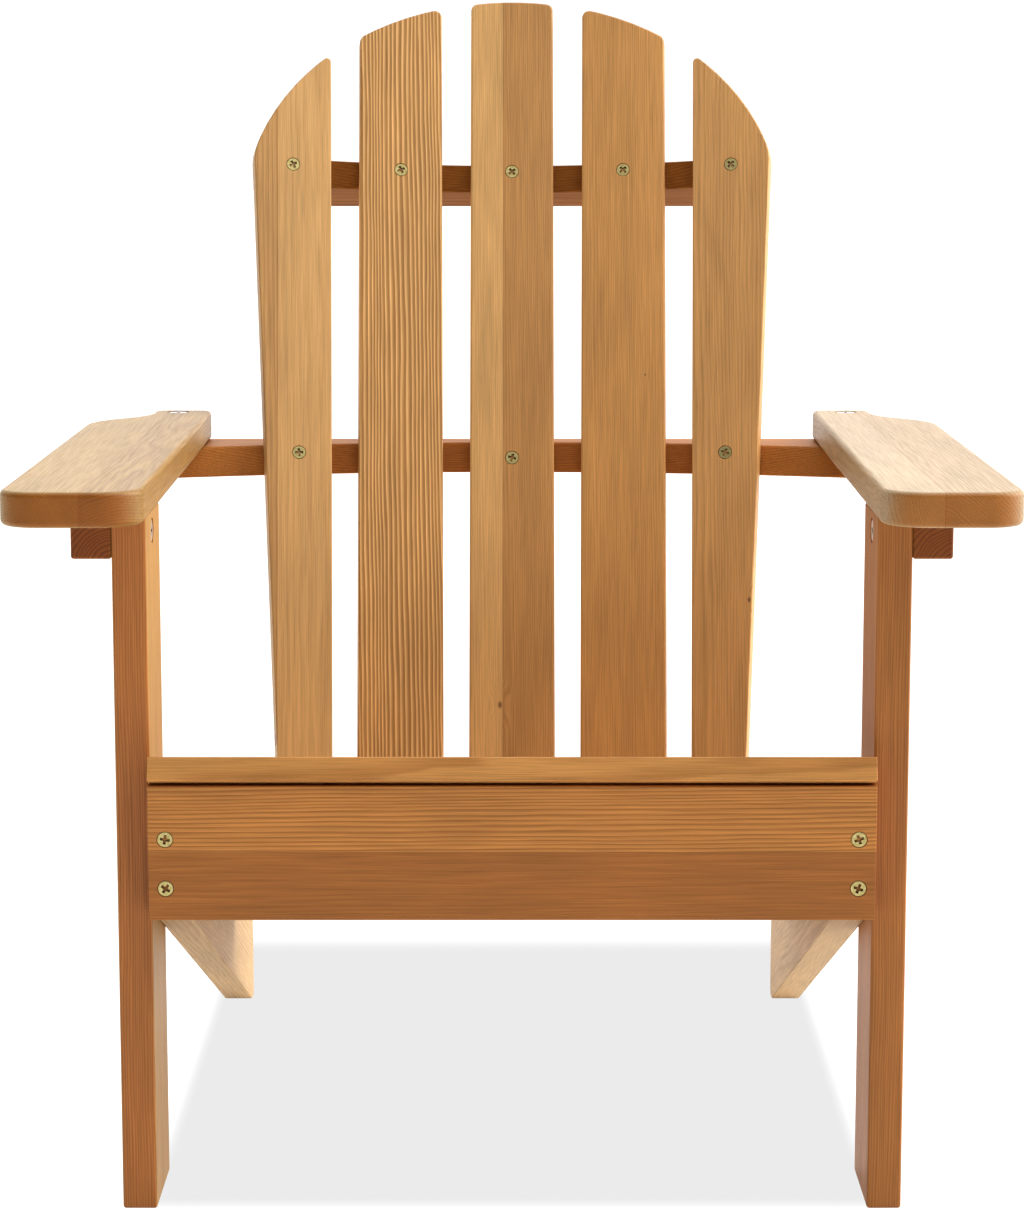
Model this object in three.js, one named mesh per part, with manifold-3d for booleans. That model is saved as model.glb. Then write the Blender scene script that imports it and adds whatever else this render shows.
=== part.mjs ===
// A slatted wooden armchair for outdoors: two sloping side rails that are also the back legs, two
// front legs, a seat of cross slats, a fanned and hollowed back of five long slats, and broad arms.
// Millimetres, +Z up, the sitter faces -Y. Left and right are as seen from the front, left is -X.
// While it is built, Y = 0 is the front of the legs and Z = 0 the floor. At the end the chair is
// moved so that the origin is on the floor under the middle of its outline.

import * as THREE from 'three';
import { mergeVertices } from 'three/addons/utils/BufferGeometryUtils.js';
import Module from 'manifold-3d';

const wasm = await Module();
wasm.setup();

// ---------------------------------------------------------------- driving dimensions

const CLEAR = 0.3;                 // gap kept round fasteners and under turned pieces

// boards
const SEAT_WIDTH = 540;            // across the outer faces of the side rails
const FRAME_T = 26;                // thickness of the legs, rails, arms, apron, beam and braces
const SLAT_T = 18;                 // thickness of the seat and back slats
const EASE = 2.2;                  // width and depth taken off every board edge
const ARM_EASE = 3;
const CORNER = 4.5;                // rounding of plain board corners
const SLAT_WIDTH = 75;             // width of the back slats

// front legs
const LEG_WIDTH = 92;

// side rails
const RAIL_FRONT_TOP = 326.3;      // height of the rails' top front corner
const RAIL_HEIGHT = 88;            // square to the rail
const SEAT_SLOPE = 21.25;          // degrees, falling to the rear
const FOOT_FLAT = 17;              // how far the rear foot lies on the floor
const HEEL_RADIUS = 40;            // rounding of the rail's upper rear corner
const TOE_RADIUS = 6;

// seat
const SEAT_SLATS = 5;
const SEAT_DEPTH = 442;            // along the seat, from its front edge to the middle back slat
const SEAT_NOSE = 5;               // how far the first slat stands past the apron
const SEAT_GAP = 11;               // between seat slats
const SEAT_BACK_GAP = 3;           // between the last seat slat and the nearest back slat
const APRON_GAP = 0.5;             // between the apron and the first slat

// back
const RECLINE = 21.1;              // degrees from upright
const BACK_RISE = 781.7;           // from the seat to the crown, along the slats
const BACK_TAIL = 58;              // slat length below the top of the seat
const BACK_RADIUS = 1000;          // hollow of the back
const BACK_SLATS = 5;
const SLAT_PITCH = 96.5;           // from slat to slat at the seat
const FAN = 0.4;                   // degrees that each slat leans from the one beside it
const CROWN_RISE = 211;            // height of the ellipse that the slat tops follow
const CROWN_FLARE = 9;             // how far that ellipse is wider than the outer slats' shoulders
const SHOULDER_SHARE = 0.73;       // how much of the crown's rise lies above the shoulder
const CROWN_STEP = 4;              // degrees between corners of the crown
const OUTER_HEAD = 70;             // width of an outer slat at its shoulder
const OUTER_TAIL = 43;             // and at its lower end
const SHOULDER_RADIUS = 60;
const SLAT_TIP_RADIUS = 6;

// braces behind the back slats
const BRACE_DROP = 164.7;          // middle of the upper brace below the crown, along the slats
const BRACE_DEPTH = 40;            // at the middle of the arc
const ARC_STEPS = 20;              // straight steps in a hollow edge
const BRACE_PAST_SCREW = 15;       // brace left beyond the outer slats' screws
const TAIL_BRACE_DROP = 39;        // middle of the lower brace below the top of the seat
const BEAM_DEPTH = 34;             // beam under the arms, at the middle of the arc
const BEAM_INSET = 5;              // from the arm's tail edge to the beam's end

// arms
const ARM_TOP = 557;               // above the floor
const ARM_WIDTH = 104;
const ARM_INSET = 4;               // inner edge inside the leg's inner face
const ARM_TOE = 6;                 // how far the inner edge runs out by the rear end
const ARM_OVERHANG = 72;           // in front of the legs
const ARM_TAIL_WIDTH = 51;
const ARM_TAIL_LENGTH = 22;        // straight stretch at the tail
const ARM_SWEEP_LENGTH = 113;      // length of the S curve from full width to the tail
const ARM_FRONT_INNER_RADIUS = 33;
const ARM_FRONT_OUTER_RADIUS = 28;
const ARM_TAIL_RADIUS = 9;
const CLEAT_WIDTH = 30;
const CLEAT_HEIGHT = 32;

// fasteners: diameters and lengths
const WOOD_SCREW = { head: 11.6, shank: 5, rim: 0.6, tip: 7, sides: 10, cross: 6.4 };
const BOLT = { head: 16.5, headHeight: 3.5, shank: 6, sides: 12, cross: 8, bore: 19, boreDepth: 4.0 };
const CROSS_WIDTH = 1.4;
const CROSS_DEPTH = 2.2;
const CROSS_TURN = 0.65;           // radians from one fastener's cross to the next
const SINK = 0.2;                  // screw heads lie this far under the face
const BACK_SCREW_BITE = 15;        // thread past the slat
const SEAT_SCREW_BITE = 19;        // thread past the slat
const FRAME_SCREW_BITE = 19;       // thread past a frame board
const BOLT_END_WOOD = 6;           // wood left beyond a bolt's end
const APRON_SCREW_SPACING = 37.2;
const APRON_SCREW_DROP = 9.4;      // middle of the pair below the middle of the apron
const RAIL_BOLT_FRONT = 34;        // from the front of the leg
const RAIL_BOLT_REAR = 28;         // from the rear of the leg
const RAIL_BOLT_EDGE = 24;         // from the rail's edges
const CLEAT_BOLT_DROP = 16;        // below the arm
const CLEAT_BOLT_FRONT = 43;
const ARM_BOLT_IN = 29;            // from the arm's inner edge
const ARM_BOLT_REAR = 18.5;        // from the arm's rear end
const BEAM_SCREW_RAISE = 1.9;      // screw head above the middle of the beam

// ---------------------------------------------------------------- derived sizes

const degrees = THREE.MathUtils.degToRad;
const slope = degrees(SEAT_SLOPE);
const recline = degrees(RECLINE);
const fan = degrees(FAN);
const halfSeat = SEAT_WIDTH / 2;
const halfSlat = SLAT_WIDTH / 2;
const sides = [['left', -1], ['right', 1]];

// side rails, in the Y-Z plane
const railDepth = RAIL_HEIGHT / Math.cos(slope);
const railBottomAt = (y) => RAIL_FRONT_TOP - railDepth - y * Math.tan(slope);
const railTopAt = (y) => RAIL_FRONT_TOP - y * Math.tan(slope);
const footStart = (RAIL_FRONT_TOP - railDepth) / Math.tan(slope);
const railEnd = footStart + FOOT_FLAT;

// back slats: fan, hollow and crown
const outermost = (BACK_SLATS - 1) / 2;
const slatTurn = (index) => index * SLAT_PITCH / BACK_RADIUS;
const slatCentre = (index, height) => index * SLAT_PITCH + height * Math.tan(index * fan);
const shoulderHeight = BACK_RISE - CROWN_RISE * SHOULDER_SHARE;
const crownReach = slatCentre(outermost, shoulderHeight) - halfSlat + OUTER_HEAD + CROWN_FLARE;

/** Distance of an outer slat's outer edge from its centre line, at a height above the seat. */
function outerEdgeAt(height) {
  const share = (height + BACK_TAIL) / (shoulderHeight + BACK_TAIL);
  return OUTER_TAIL + share * (OUTER_HEAD - OUTER_TAIL) - halfSlat;
}

/** How far the outer slats stand in front of the middle one, at a height above the seat. */
function hollowAt(height) {
  const turn = slatTurn(outermost);
  return BACK_RADIUS * (1 - Math.cos(turn)) + outerEdgeAt(height) * Math.sin(turn);
}

// the arc that the braces are cut to: it clears the corners of the flat slats
const slatDrift = Math.abs(slatCentre(outermost, BACK_RISE) - slatCentre(outermost, 0)) / 2;
const braceRadius = Math.hypot(BACK_RADIUS + SLAT_T, halfSlat + slatDrift) + CLEAR;
const braceFront = braceRadius - BACK_RADIUS;

// seat group: its origin is the rails' top front corner and its y axis runs down the rails
const seatFront = -(FRAME_T + SEAT_NOSE) / Math.cos(slope);
const seatRear = seatFront + SEAT_DEPTH - hollowAt(0) - SEAT_BACK_GAP;
const seatSlatWidth = (seatRear - seatFront - (SEAT_SLATS - 1) * SEAT_GAP) / SEAT_SLATS;

// arms, beam and legs
const armBottom = ARM_TOP - FRAME_T;
const armInner = halfSeat - ARM_INSET;
const armOuter = armInner + ARM_WIDTH;
const armTailInner = armInner + ARM_TOE;
const armTailOuter = armTailInner + ARM_TAIL_WIDTH;
const beamReach = armTailOuter - BEAM_INSET;

// ---------------------------------------------------------------- materials

const timber = (color) => new THREE.MeshStandardMaterial({ color, roughness: 0.55, metalness: 0 });
const metal = (color) => new THREE.MeshStandardMaterial({ color, roughness: 0.3, metalness: 1 });
const WARM_FIR = 0xb8793f;
const PALE_FIR = 0xc98f55;
const RED_FIR = 0xa9683a;
const YELLOW_ZINC = 0xc9b45e;
const BRIGHT_ZINC = 0xc4c6c8;

// ---------------------------------------------------------------- board making

const X = new THREE.Vector3(1, 0, 0);
const Y = new THREE.Vector3(0, 1, 0);
const Z = new THREE.Vector3(0, 0, 1);
const FORWARD = Y.clone().negate();

/** Turn that lays an outline's own axes along the three given directions. */
function turnOnto(across, up, through) {
  const basis = new THREE.Matrix4().makeBasis(across, up, through);
  return new THREE.Quaternion().setFromRotationMatrix(basis);
}
const LYING = turnOnto(X, Y, Z);           // outline in plan, thickness upwards
const FACING = turnOnto(X, Z, FORWARD);    // outline seen from the front, thickness forwards
const SIDEWAYS = turnOnto(Y, Z, X);        // outline seen from the side, thickness towards +X

/** Closed outline through [x, y, radius] corners, each rounded with an arc that fits its sides. */
function roundedOutline(corners) {
  const flatness = 0.35;
  const points = [];
  corners.forEach(([x, y, radius = 0], index) => {
    const corner = new THREE.Vector2(x, y);
    if (radius === 0) {
      points.push(corner);
      return;
    }
    const before = new THREE.Vector2(...corners.at(index - 1).slice(0, 2)).sub(corner);
    const after = new THREE.Vector2(...corners[(index + 1) % corners.length].slice(0, 2)).sub(corner);
    const room = 0.49 * Math.min(before.length(), after.length());
    before.normalize();
    after.normalize();
    const halfAngle = Math.acos(THREE.MathUtils.clamp(before.dot(after), -1, 1)) / 2;
    const reach = Math.min(radius / Math.tan(halfAngle), room);
    const fitted = reach * Math.tan(halfAngle);
    const centre = before.clone().add(after).setLength(fitted / Math.sin(halfAngle)).add(corner);
    const start = before.clone().multiplyScalar(reach).add(corner);
    const sweep = (Math.PI - 2 * halfAngle) * -Math.sign(before.cross(after));
    const step = 2 * Math.acos(Math.max(0, 1 - flatness / fitted));
    const count = Math.max(1, Math.ceil(Math.abs(sweep) / step));
    for (let k = 0; k <= count; k += 1) {
      points.push(start.clone().rotateAround(centre, sweep * k / count));
    }
  });
  return points;
}

/** Corners of a plain rectangle from (x0, y0) to (x1, y1), all with one radius. */
function rectangle(x0, y0, x1, y1, radius = CORNER) {
  return roundedOutline([[x0, y0, radius], [x1, y0, radius], [x1, y1, radius], [x0, y1, radius]]);
}

/** Board with all its edges eased; the outline lies at z = 0 and the board is thick towards +z. */
function boardGeometry(outline, thickness, ease) {
  const geometry = new THREE.ExtrudeGeometry(new THREE.Shape(outline), {
    depth: thickness - 2 * ease,
    bevelEnabled: true,
    bevelThickness: ease,
    bevelSize: ease,
    bevelOffset: -ease,
    bevelSegments: 1,
    steps: 1,
  });
  return geometry.translate(0, 0, ease);
}

/** Makes a board, places it and adds it to its parent. */
function addBoard(parent, name, outline, thickness, turn, position, color, ease = EASE) {
  const board = new THREE.Mesh(boardGeometry(outline, thickness, ease), timber(color));
  board.name = name;
  board.quaternion.copy(turn);
  board.position.set(...position);
  parent.add(board);
  return board;
}

// ---------------------------------------------------------------- cutting

/** Solid from a closed geometry after a move; vertices that meet are merged first. */
function toSolid(geometry, matrix) {
  const bare = new THREE.BufferGeometry();
  bare.setAttribute('position', geometry.getAttribute('position').clone());
  if (geometry.index) {
    bare.setIndex(geometry.index.clone());
  }
  const merged = mergeVertices(bare.applyMatrix4(matrix), 1e-4);
  const corners = merged.index.array;
  const kept = [];
  for (let k = 0; k < corners.length; k += 3) {
    const [a, b, c] = [corners[k], corners[k + 1], corners[k + 2]];
    if (a !== b && b !== c && c !== a) {
      kept.push(a, b, c);
    }
  }
  const vertProperties = merged.getAttribute('position').array;
  const triVerts = new Uint32Array(kept);
  return new wasm.Manifold(new wasm.Mesh({ numProp: 3, vertProperties, triVerts }));
}

/** Geometry from a solid, flat-shaded. */
function toGeometry(solid) {
  const { vertProperties, triVerts } = solid.getMesh();
  const indexed = new THREE.BufferGeometry();
  indexed.setAttribute('position', new THREE.BufferAttribute(vertProperties, 3));
  indexed.setIndex(new THREE.BufferAttribute(triVerts, 1));
  const geometry = indexed.toNonIndexed();
  geometry.computeVertexNormals();
  return geometry;
}

// ---------------------------------------------------------------- fasteners

/** Half section of a countersunk wood screw, tip first; grow makes the hole for it. */
function woodScrewProfile({ head, shank, rim, tip }, length, grow) {
  const above = grow > 0 ? head : 0;
  const headRadius = head / 2 + grow;
  const shankRadius = shank / 2 + grow;
  return [
    [0, -length - grow],
    [shankRadius, tip - length],
    [shankRadius, -rim - (head - shank) / 2],
    [headRadius, -rim],
    [headRadius, above],
    [0, above],
  ];
}

/** Half section of a flat-headed connecting bolt; grow makes its stepped hole. */
function boltProfile({ head, headHeight, shank, bore }, length, grow) {
  const above = grow > 0 ? head : 0;
  const headRadius = grow > 0 ? bore / 2 : head / 2;
  const shankRadius = shank / 2 + grow;
  return [
    [0, -length - grow],
    [shankRadius, -length - grow],
    [shankRadius, -headHeight - grow],
    [headRadius, -headHeight - grow],
    [headRadius, above],
    [0, above],
  ];
}

/** Turned body on the z axis from a half section. */
function lathe(profile, segments) {
  const points = profile.map(([radius, height]) => new THREE.Vector2(radius, height));
  return new THREE.LatheGeometry(points, segments).rotateX(Math.PI / 2);
}

const fasteners = [];

/**
 * Adds a fastener whose head's top centre is at position, driven against the outward direction,
 * and notes the boards that it goes through, which are bored for it at the end.
 */
function addFastener(parent, name, spec, profile, length, position, outward, color, boards) {
  const turn = fasteners.length * CROSS_TURN;
  const blank = toSolid(lathe(profile(spec, length, 0), spec.sides), new THREE.Matrix4());
  const slot = new THREE.BoxGeometry(spec.cross, CROSS_WIDTH, 2 * CROSS_DEPTH);
  const cross = [0, Math.PI / 2].map((angle) => toSolid(slot, new THREE.Matrix4().makeRotationZ(angle)));
  const body = blank.subtract(cross[0]).subtract(cross[1]);
  const mesh = new THREE.Mesh(toGeometry(body), metal(color));
  mesh.name = name;
  mesh.quaternion.setFromUnitVectors(Z, outward).multiply(new THREE.Quaternion().setFromAxisAngle(Z, turn));
  mesh.position.copy(position);
  parent.add(mesh);
  fasteners.push({ mesh, hole: lathe(profile(spec, length, CLEAR), spec.sides), boards });
}

/** Adds a countersunk wood screw, its head just under the face at the given point. */
function addScrew(parent, name, length, point, outward, boards) {
  const position = point.clone().addScaledVector(outward, -SINK);
  addFastener(parent, name, WOOD_SCREW, woodScrewProfile, length, position, outward, YELLOW_ZINC, boards);
}

/** Adds a connecting bolt through the boards, its head in a counterbore in the face at the point. */
function addBolt(parent, name, thickness, point, outward, boards) {
  const sunk = BOLT.boreDepth - BOLT.headHeight;
  const length = thickness - sunk - BOLT_END_WOOD;
  const position = point.clone().addScaledVector(outward, -sunk);
  addFastener(parent, name, BOLT, boltProfile, length, position, outward, BRIGHT_ZINC, boards);
}

/** Bores every board for the fasteners that go through it. */
function boreBoards(assembly) {
  assembly.updateMatrixWorld(true);
  const holes = new Map();
  for (const { mesh, hole, boards } of fasteners) {
    for (const board of boards) {
      const move = board.matrixWorld.clone().invert().multiply(mesh.matrixWorld);
      holes.set(board, [...(holes.get(board) ?? []), toSolid(hole, move)]);
    }
  }
  for (const [board, cuts] of holes) {
    const blank = toSolid(board.geometry, new THREE.Matrix4());
    board.geometry = toGeometry(cuts.reduce((solid, cut) => solid.subtract(cut), blank));
  }
}

// ---------------------------------------------------------------- frame

/** Front legs, side rails and the bolts between them. */
function addFrame(chair) {
  const legOutline = rectangle(0, 0, LEG_WIDTH, armBottom);
  const railOutline = roundedOutline([
    [0, railBottomAt(0), CORNER],
    [footStart, 0, TOE_RADIUS],
    [railEnd, 0, TOE_RADIUS],
    [railEnd, railTopAt(railEnd), HEEL_RADIUS],
    [0, RAIL_FRONT_TOP, CORNER],
  ]);
  const boltRear = LEG_WIDTH - RAIL_BOLT_REAR;
  const boltPlaces = [
    [RAIL_BOLT_FRONT, railTopAt(RAIL_BOLT_FRONT) - RAIL_BOLT_EDGE],
    [boltRear, railBottomAt(boltRear) + RAIL_BOLT_EDGE],
  ];
  const legs = {};
  const rails = {};
  for (const [side, sign] of sides) {
    const legX = sign * (halfSeat + FRAME_T / 2) - FRAME_T / 2;
    const railX = sign * (halfSeat - FRAME_T / 2) - FRAME_T / 2;
    legs[side] = addBoard(chair, `front_leg_${side}`, legOutline, FRAME_T, SIDEWAYS, [legX, 0, 0], RED_FIR);
    rails[side] = addBoard(chair, `side_rail_${side}`, railOutline, FRAME_T, SIDEWAYS, [railX, 0, 0], PALE_FIR);
    const outward = X.clone().multiplyScalar(sign);
    boltPlaces.forEach(([y, z], index) => {
      const point = new THREE.Vector3(sign * (halfSeat + FRAME_T), y, z);
      const name = `rail_bolt_${side}_${index + 1}`;
      addBolt(chair, name, 2 * FRAME_T, point, outward, [legs[side], rails[side]]);
    });
  }
  return { legs, rails };
}

/** Apron across the fronts of the rails, its top bevelled to the slope of the seat. */
function addApron(chair, rails) {
  const bottom = railBottomAt(0);
  const top = (y) => railTopAt(y) - APRON_GAP;
  const section = roundedOutline([
    [-FRAME_T, bottom, CORNER],
    [0, bottom, CORNER],
    [0, top(0), CORNER],
    [-FRAME_T, top(-FRAME_T), CORNER],
  ]);
  const apron = addBoard(chair, 'front_apron', section, SEAT_WIDTH, SIDEWAYS, [-halfSeat, 0, 0], WARM_FIR);
  const lowest = (bottom + top(-FRAME_T)) / 2 - APRON_SCREW_DROP - APRON_SCREW_SPACING / 2;
  for (const [side, sign] of sides) {
    for (const row of [0, 1]) {
      const x = sign * (halfSeat - FRAME_T / 2);
      const point = new THREE.Vector3(x, -FRAME_T, lowest + row * APRON_SCREW_SPACING);
      const name = `apron_screw_${side}_${row + 1}`;
      addScrew(chair, name, FRAME_T + FRAME_SCREW_BITE, point, FORWARD, [apron, rails[side]]);
    }
  }
}

/** Seat slats on the rails, front to rear, with a screw into each rail. */
function addSeat(chair, rails) {
  const seat = new THREE.Group();
  seat.position.set(0, 0, RAIL_FRONT_TOP);
  seat.rotation.x = -slope;
  chair.add(seat);
  for (let index = 0; index < SEAT_SLATS; index += 1) {
    const front = seatFront + index * (seatSlatWidth + SEAT_GAP);
    const rear = front + seatSlatWidth;
    const outline = rectangle(CLEAR - halfSeat, front, halfSeat - CLEAR, rear);
    const slat = addBoard(seat, `seat_slat_${index + 1}`, outline, SLAT_T, LYING, [0, 0, CLEAR], WARM_FIR);
    const screwLine = (Math.max(front, 0) + rear) / 2;
    for (const [side, sign] of sides) {
      const point = new THREE.Vector3(sign * (halfSeat - FRAME_T / 2), screwLine, CLEAR + SLAT_T);
      const name = `seat_screw_${side}_${index + 1}`;
      addScrew(seat, name, SLAT_T + SEAT_SCREW_BITE, point, Z, [slat, rails[side]]);
    }
  }
  seat.updateMatrixWorld(true);
  return seat.localToWorld(new THREE.Vector3(0, seatFront + SEAT_DEPTH, CLEAR + SLAT_T));
}

// ---------------------------------------------------------------- back

/** Angle round the crown's ellipse at which a slat's edge meets it. */
function crownAngle(index, edge) {
  let height = shoulderHeight;
  let angle = 0;
  for (let round = 0; round < 8; round += 1) {
    angle = Math.asin((slatCentre(index, height) + edge) / crownReach);
    height = BACK_RISE - CROWN_RISE * (1 - Math.cos(angle));
  }
  return angle;
}

/** Outline of a back slat in its own plane: x from its centre line outwards, y up from the seat. */
function slatOutline(index) {
  const outer = index === outermost;
  const headEdge = outer ? OUTER_HEAD - halfSlat : halfSlat;
  const tailEdge = outer ? OUTER_TAIL - halfSlat : halfSlat;
  const from = crownAngle(index, headEdge);
  const to = crownAngle(index, -halfSlat);
  const steps = Math.ceil(Math.abs(from - to) / degrees(CROWN_STEP));
  const corners = [
    [-halfSlat, -BACK_TAIL, CORNER],
    [tailEdge, -BACK_TAIL, CORNER],
  ];
  for (let k = 0; k <= steps; k += 1) {
    const angle = from + (to - from) * k / steps;
    const height = BACK_RISE - CROWN_RISE * (1 - Math.cos(angle));
    const across = crownReach * Math.sin(angle) - slatCentre(index, height);
    const endRadius = k === 0 && outer ? SHOULDER_RADIUS : SLAT_TIP_RADIUS;
    corners.push([across, height, k === 0 || k === steps ? endRadius : 0]);
  }
  return corners;
}

/** Outline of a board with one edge cut to the arc behind the slats: x across, y to the rear. */
function arcOutline(reach, front, rear, stretch) {
  const corners = [[reach, rear, CORNER], [-reach, rear, CORNER]];
  for (let k = 0; k <= ARC_STEPS; k += 1) {
    const x = reach * (2 * k / ARC_STEPS - 1);
    const forward = braceRadius - Math.sqrt(braceRadius ** 2 - x ** 2);
    corners.push([x, front - forward * stretch, k % ARC_STEPS === 0 ? CORNER : 0]);
  }
  return roundedOutline(corners);
}

/** Where an outer slat's screw goes, from the slat's centre line: the middle of its width. */
const outerScrewAcross = (height) => (outerEdgeAt(height) - halfSlat) / 2;

/** Back slats, their braces and screws, in a group that leans back from the rear of the seat. */
function addBack(chair, foot, beam, beamMiddle, rails) {
  const back = new THREE.Group();
  back.position.copy(foot);
  back.rotation.x = -recline;
  chair.add(back);

  const upperHeight = BACK_RISE - BRACE_DROP;
  const upperReach = slatCentre(outermost, upperHeight) + outerScrewAcross(upperHeight) + BRACE_PAST_SCREW;
  const upperOutline = arcOutline(upperReach, braceFront, braceFront + BRACE_DEPTH, 1);
  const upperAt = [0, 0, upperHeight - FRAME_T / 2];
  const upper = addBoard(back, 'upper_back_brace', upperOutline, FRAME_T, LYING, upperAt, RED_FIR);

  const lowerReach = halfSeat - FRAME_T - CLEAR;
  const lowerOutline = arcOutline(lowerReach, braceFront, braceFront + BRACE_DEPTH, 1);
  const lowerAt = [0, 0, -TAIL_BRACE_DROP - FRAME_T / 2];
  const lower = addBoard(back, 'lower_back_brace', lowerOutline, FRAME_T, LYING, lowerAt, RED_FIR);
  for (const [side, sign] of sides) {
    const point = new THREE.Vector3(sign * halfSeat, braceFront + BRACE_DEPTH / 2, -TAIL_BRACE_DROP);
    const outward = X.clone().multiplyScalar(sign);
    const length = FRAME_T + FRAME_SCREW_BITE;
    addScrew(back, `brace_end_screw_${side}`, length, point, outward, [rails[side], lower]);
  }

  const beamHeight = (beamMiddle + BEAM_SCREW_RAISE - foot.z) / Math.cos(recline);
  const rows = [
    ['brace_screw', upperHeight, upper, () => true],
    ['beam_screw', beamHeight, beam, (index) => index % 2 === 0],
    ['tail_screw', -TAIL_BRACE_DROP, lower, () => true],
  ];
  for (let index = -outermost; index <= outermost; index += 1) {
    const place = Math.abs(index);
    const sign = Math.sign(index) || 1;
    const turn = slatTurn(index);
    const holder = new THREE.Group();
    holder.position.set(BACK_RADIUS * Math.sin(turn), BACK_RADIUS * (Math.cos(turn) - 1), 0);
    holder.rotation.set(0, index * fan, -turn, 'ZYX');
    back.add(holder);
    const corners = slatOutline(place).map(([x, y, radius]) => [sign * x, y, radius]);
    const number = index + outermost + 1;
    const color = index % 2 === 0 ? WARM_FIR : PALE_FIR;
    const outline = roundedOutline(corners);
    const slat = addBoard(holder, `back_slat_${number}`, outline, SLAT_T, FACING, [0, SLAT_T, 0], color);
    for (const [name, height, board, used] of rows) {
      if (used(index)) {
        const across = place === outermost ? sign * outerScrewAcross(height) : 0;
        const point = new THREE.Vector3(across, 0, height);
        addScrew(holder, `${name}_${number}`, SLAT_T + BACK_SCREW_BITE, point, FORWARD, [slat, board]);
      }
    }
  }
}

// ---------------------------------------------------------------- arms

/** Beam under the arms' tails, its front edge cut to the hollow and the lean of the back. */
function addBeam(chair, foot) {
  const backFaceAt = (z) => foot.y + (z - foot.z) * Math.tan(recline) + braceFront / Math.cos(recline);
  const front = backFaceAt(armBottom);
  const rear = front + BEAM_DEPTH;
  const outline = arcOutline(beamReach, front, rear, 1 / Math.cos(recline));
  const bottom = armBottom - FRAME_T;
  const beam = addBoard(chair, 'arm_beam', outline, FRAME_T, LYING, [0, 0, bottom], WARM_FIR);
  const places = beam.geometry.getAttribute('position');
  for (let k = 0; k < places.count; k += 1) {
    const onFrontEdge = places.getY(k) < rear - BEAM_DEPTH / 2;
    const lean = onFrontEdge ? (places.getZ(k) - FRAME_T) * Math.tan(recline) : 0;
    places.setY(k, places.getY(k) + lean);
  }
  return { beam, beamMiddle: bottom + FRAME_T / 2, rear };
}

/** Outline of the right arm in plan; the left arm is its mirror image. */
function armOutline(rear) {
  const sweepEnd = rear - ARM_TAIL_LENGTH;
  const sweepStart = sweepEnd - ARM_SWEEP_LENGTH;
  const step = armOuter - armTailOuter;
  const sweepRadius = (ARM_SWEEP_LENGTH ** 2 + step ** 2) / (4 * Math.abs(step));
  const tangent = sweepRadius * Math.tan(Math.atan2(Math.abs(step), ARM_SWEEP_LENGTH));
  return [
    [armInner, -ARM_OVERHANG, ARM_FRONT_INNER_RADIUS],
    [armOuter, -ARM_OVERHANG, ARM_FRONT_OUTER_RADIUS],
    [armOuter, sweepStart + tangent, sweepRadius],
    [armTailOuter, sweepEnd - tangent, sweepRadius],
    [armTailOuter, rear, ARM_TAIL_RADIUS],
    [armTailInner, rear, ARM_TAIL_RADIUS],
  ];
}

/** Arms, the cleats that hold them to the legs, and their bolts. */
function addArms(chair, legs, beam, rear) {
  for (const [side, sign] of sides) {
    const outline = roundedOutline(armOutline(rear).map(([x, y, radius]) => [sign * x, y, radius]));
    const arm = addBoard(chair, `arm_${side}`, outline, FRAME_T, LYING, [0, 0, armBottom], PALE_FIR, ARM_EASE);
    const cleatInner = halfSeat + FRAME_T;
    const cleatX = [sign * cleatInner, sign * (cleatInner + CLEAT_WIDTH)].sort((a, b) => a - b);
    const section = rectangle(cleatX[0], armBottom - CLEAT_HEIGHT, cleatX[1], armBottom);
    const cleat = addBoard(chair, `arm_cleat_${side}`, section, LEG_WIDTH, FACING, [0, LEG_WIDTH, 0], WARM_FIR);

    const outerPoint = new THREE.Vector3(sign * (armTailInner + ARM_BOLT_IN), rear - ARM_BOLT_REAR, ARM_TOP);
    addBolt(chair, `arm_bolt_${side}`, 2 * FRAME_T, outerPoint, Z, [arm, beam]);
    const innerPoint = new THREE.Vector3(sign * halfSeat, CLEAT_BOLT_FRONT, armBottom - CLEAT_BOLT_DROP);
    const inward = X.clone().multiplyScalar(-sign);
    addBolt(chair, `cleat_bolt_${side}`, FRAME_T + CLEAT_WIDTH, innerPoint, inward, [legs[side], cleat]);
  }
}

// ---------------------------------------------------------------- the chair

const chair = new THREE.Group();
const { legs, rails } = addFrame(chair);
addApron(chair, rails);
const backFoot = addSeat(chair, rails);
const { beam, beamMiddle, rear } = addBeam(chair, backFoot);
addBack(chair, backFoot, beam, beamMiddle, rails);
addArms(chair, legs, beam, rear);
boreBoards(chair);

const outline = new THREE.Box3().setFromObject(chair, true);
chair.position.set(0, -(outline.min.y + outline.max.y) / 2, -outline.min.z);

const armchair = new THREE.Group();
armchair.add(chair);

export default armchair;
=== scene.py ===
"""Oiled softwood garden armchair: fanned back, wide arms, rails that run down to the floor.

Every board is cut from a blank of the size that the CAD gives it, eased along its edges and bored for its
fasteners. Boards, screws and bolts replace their CAD nodes one for one. All lengths are in metres.
"""

import logging
import math
from dataclasses import dataclass, field
from enum import Enum
from typing import Callable, Sequence

import bmesh
import bpy
import numpy as np
from mathutils import Matrix, Vector


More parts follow.
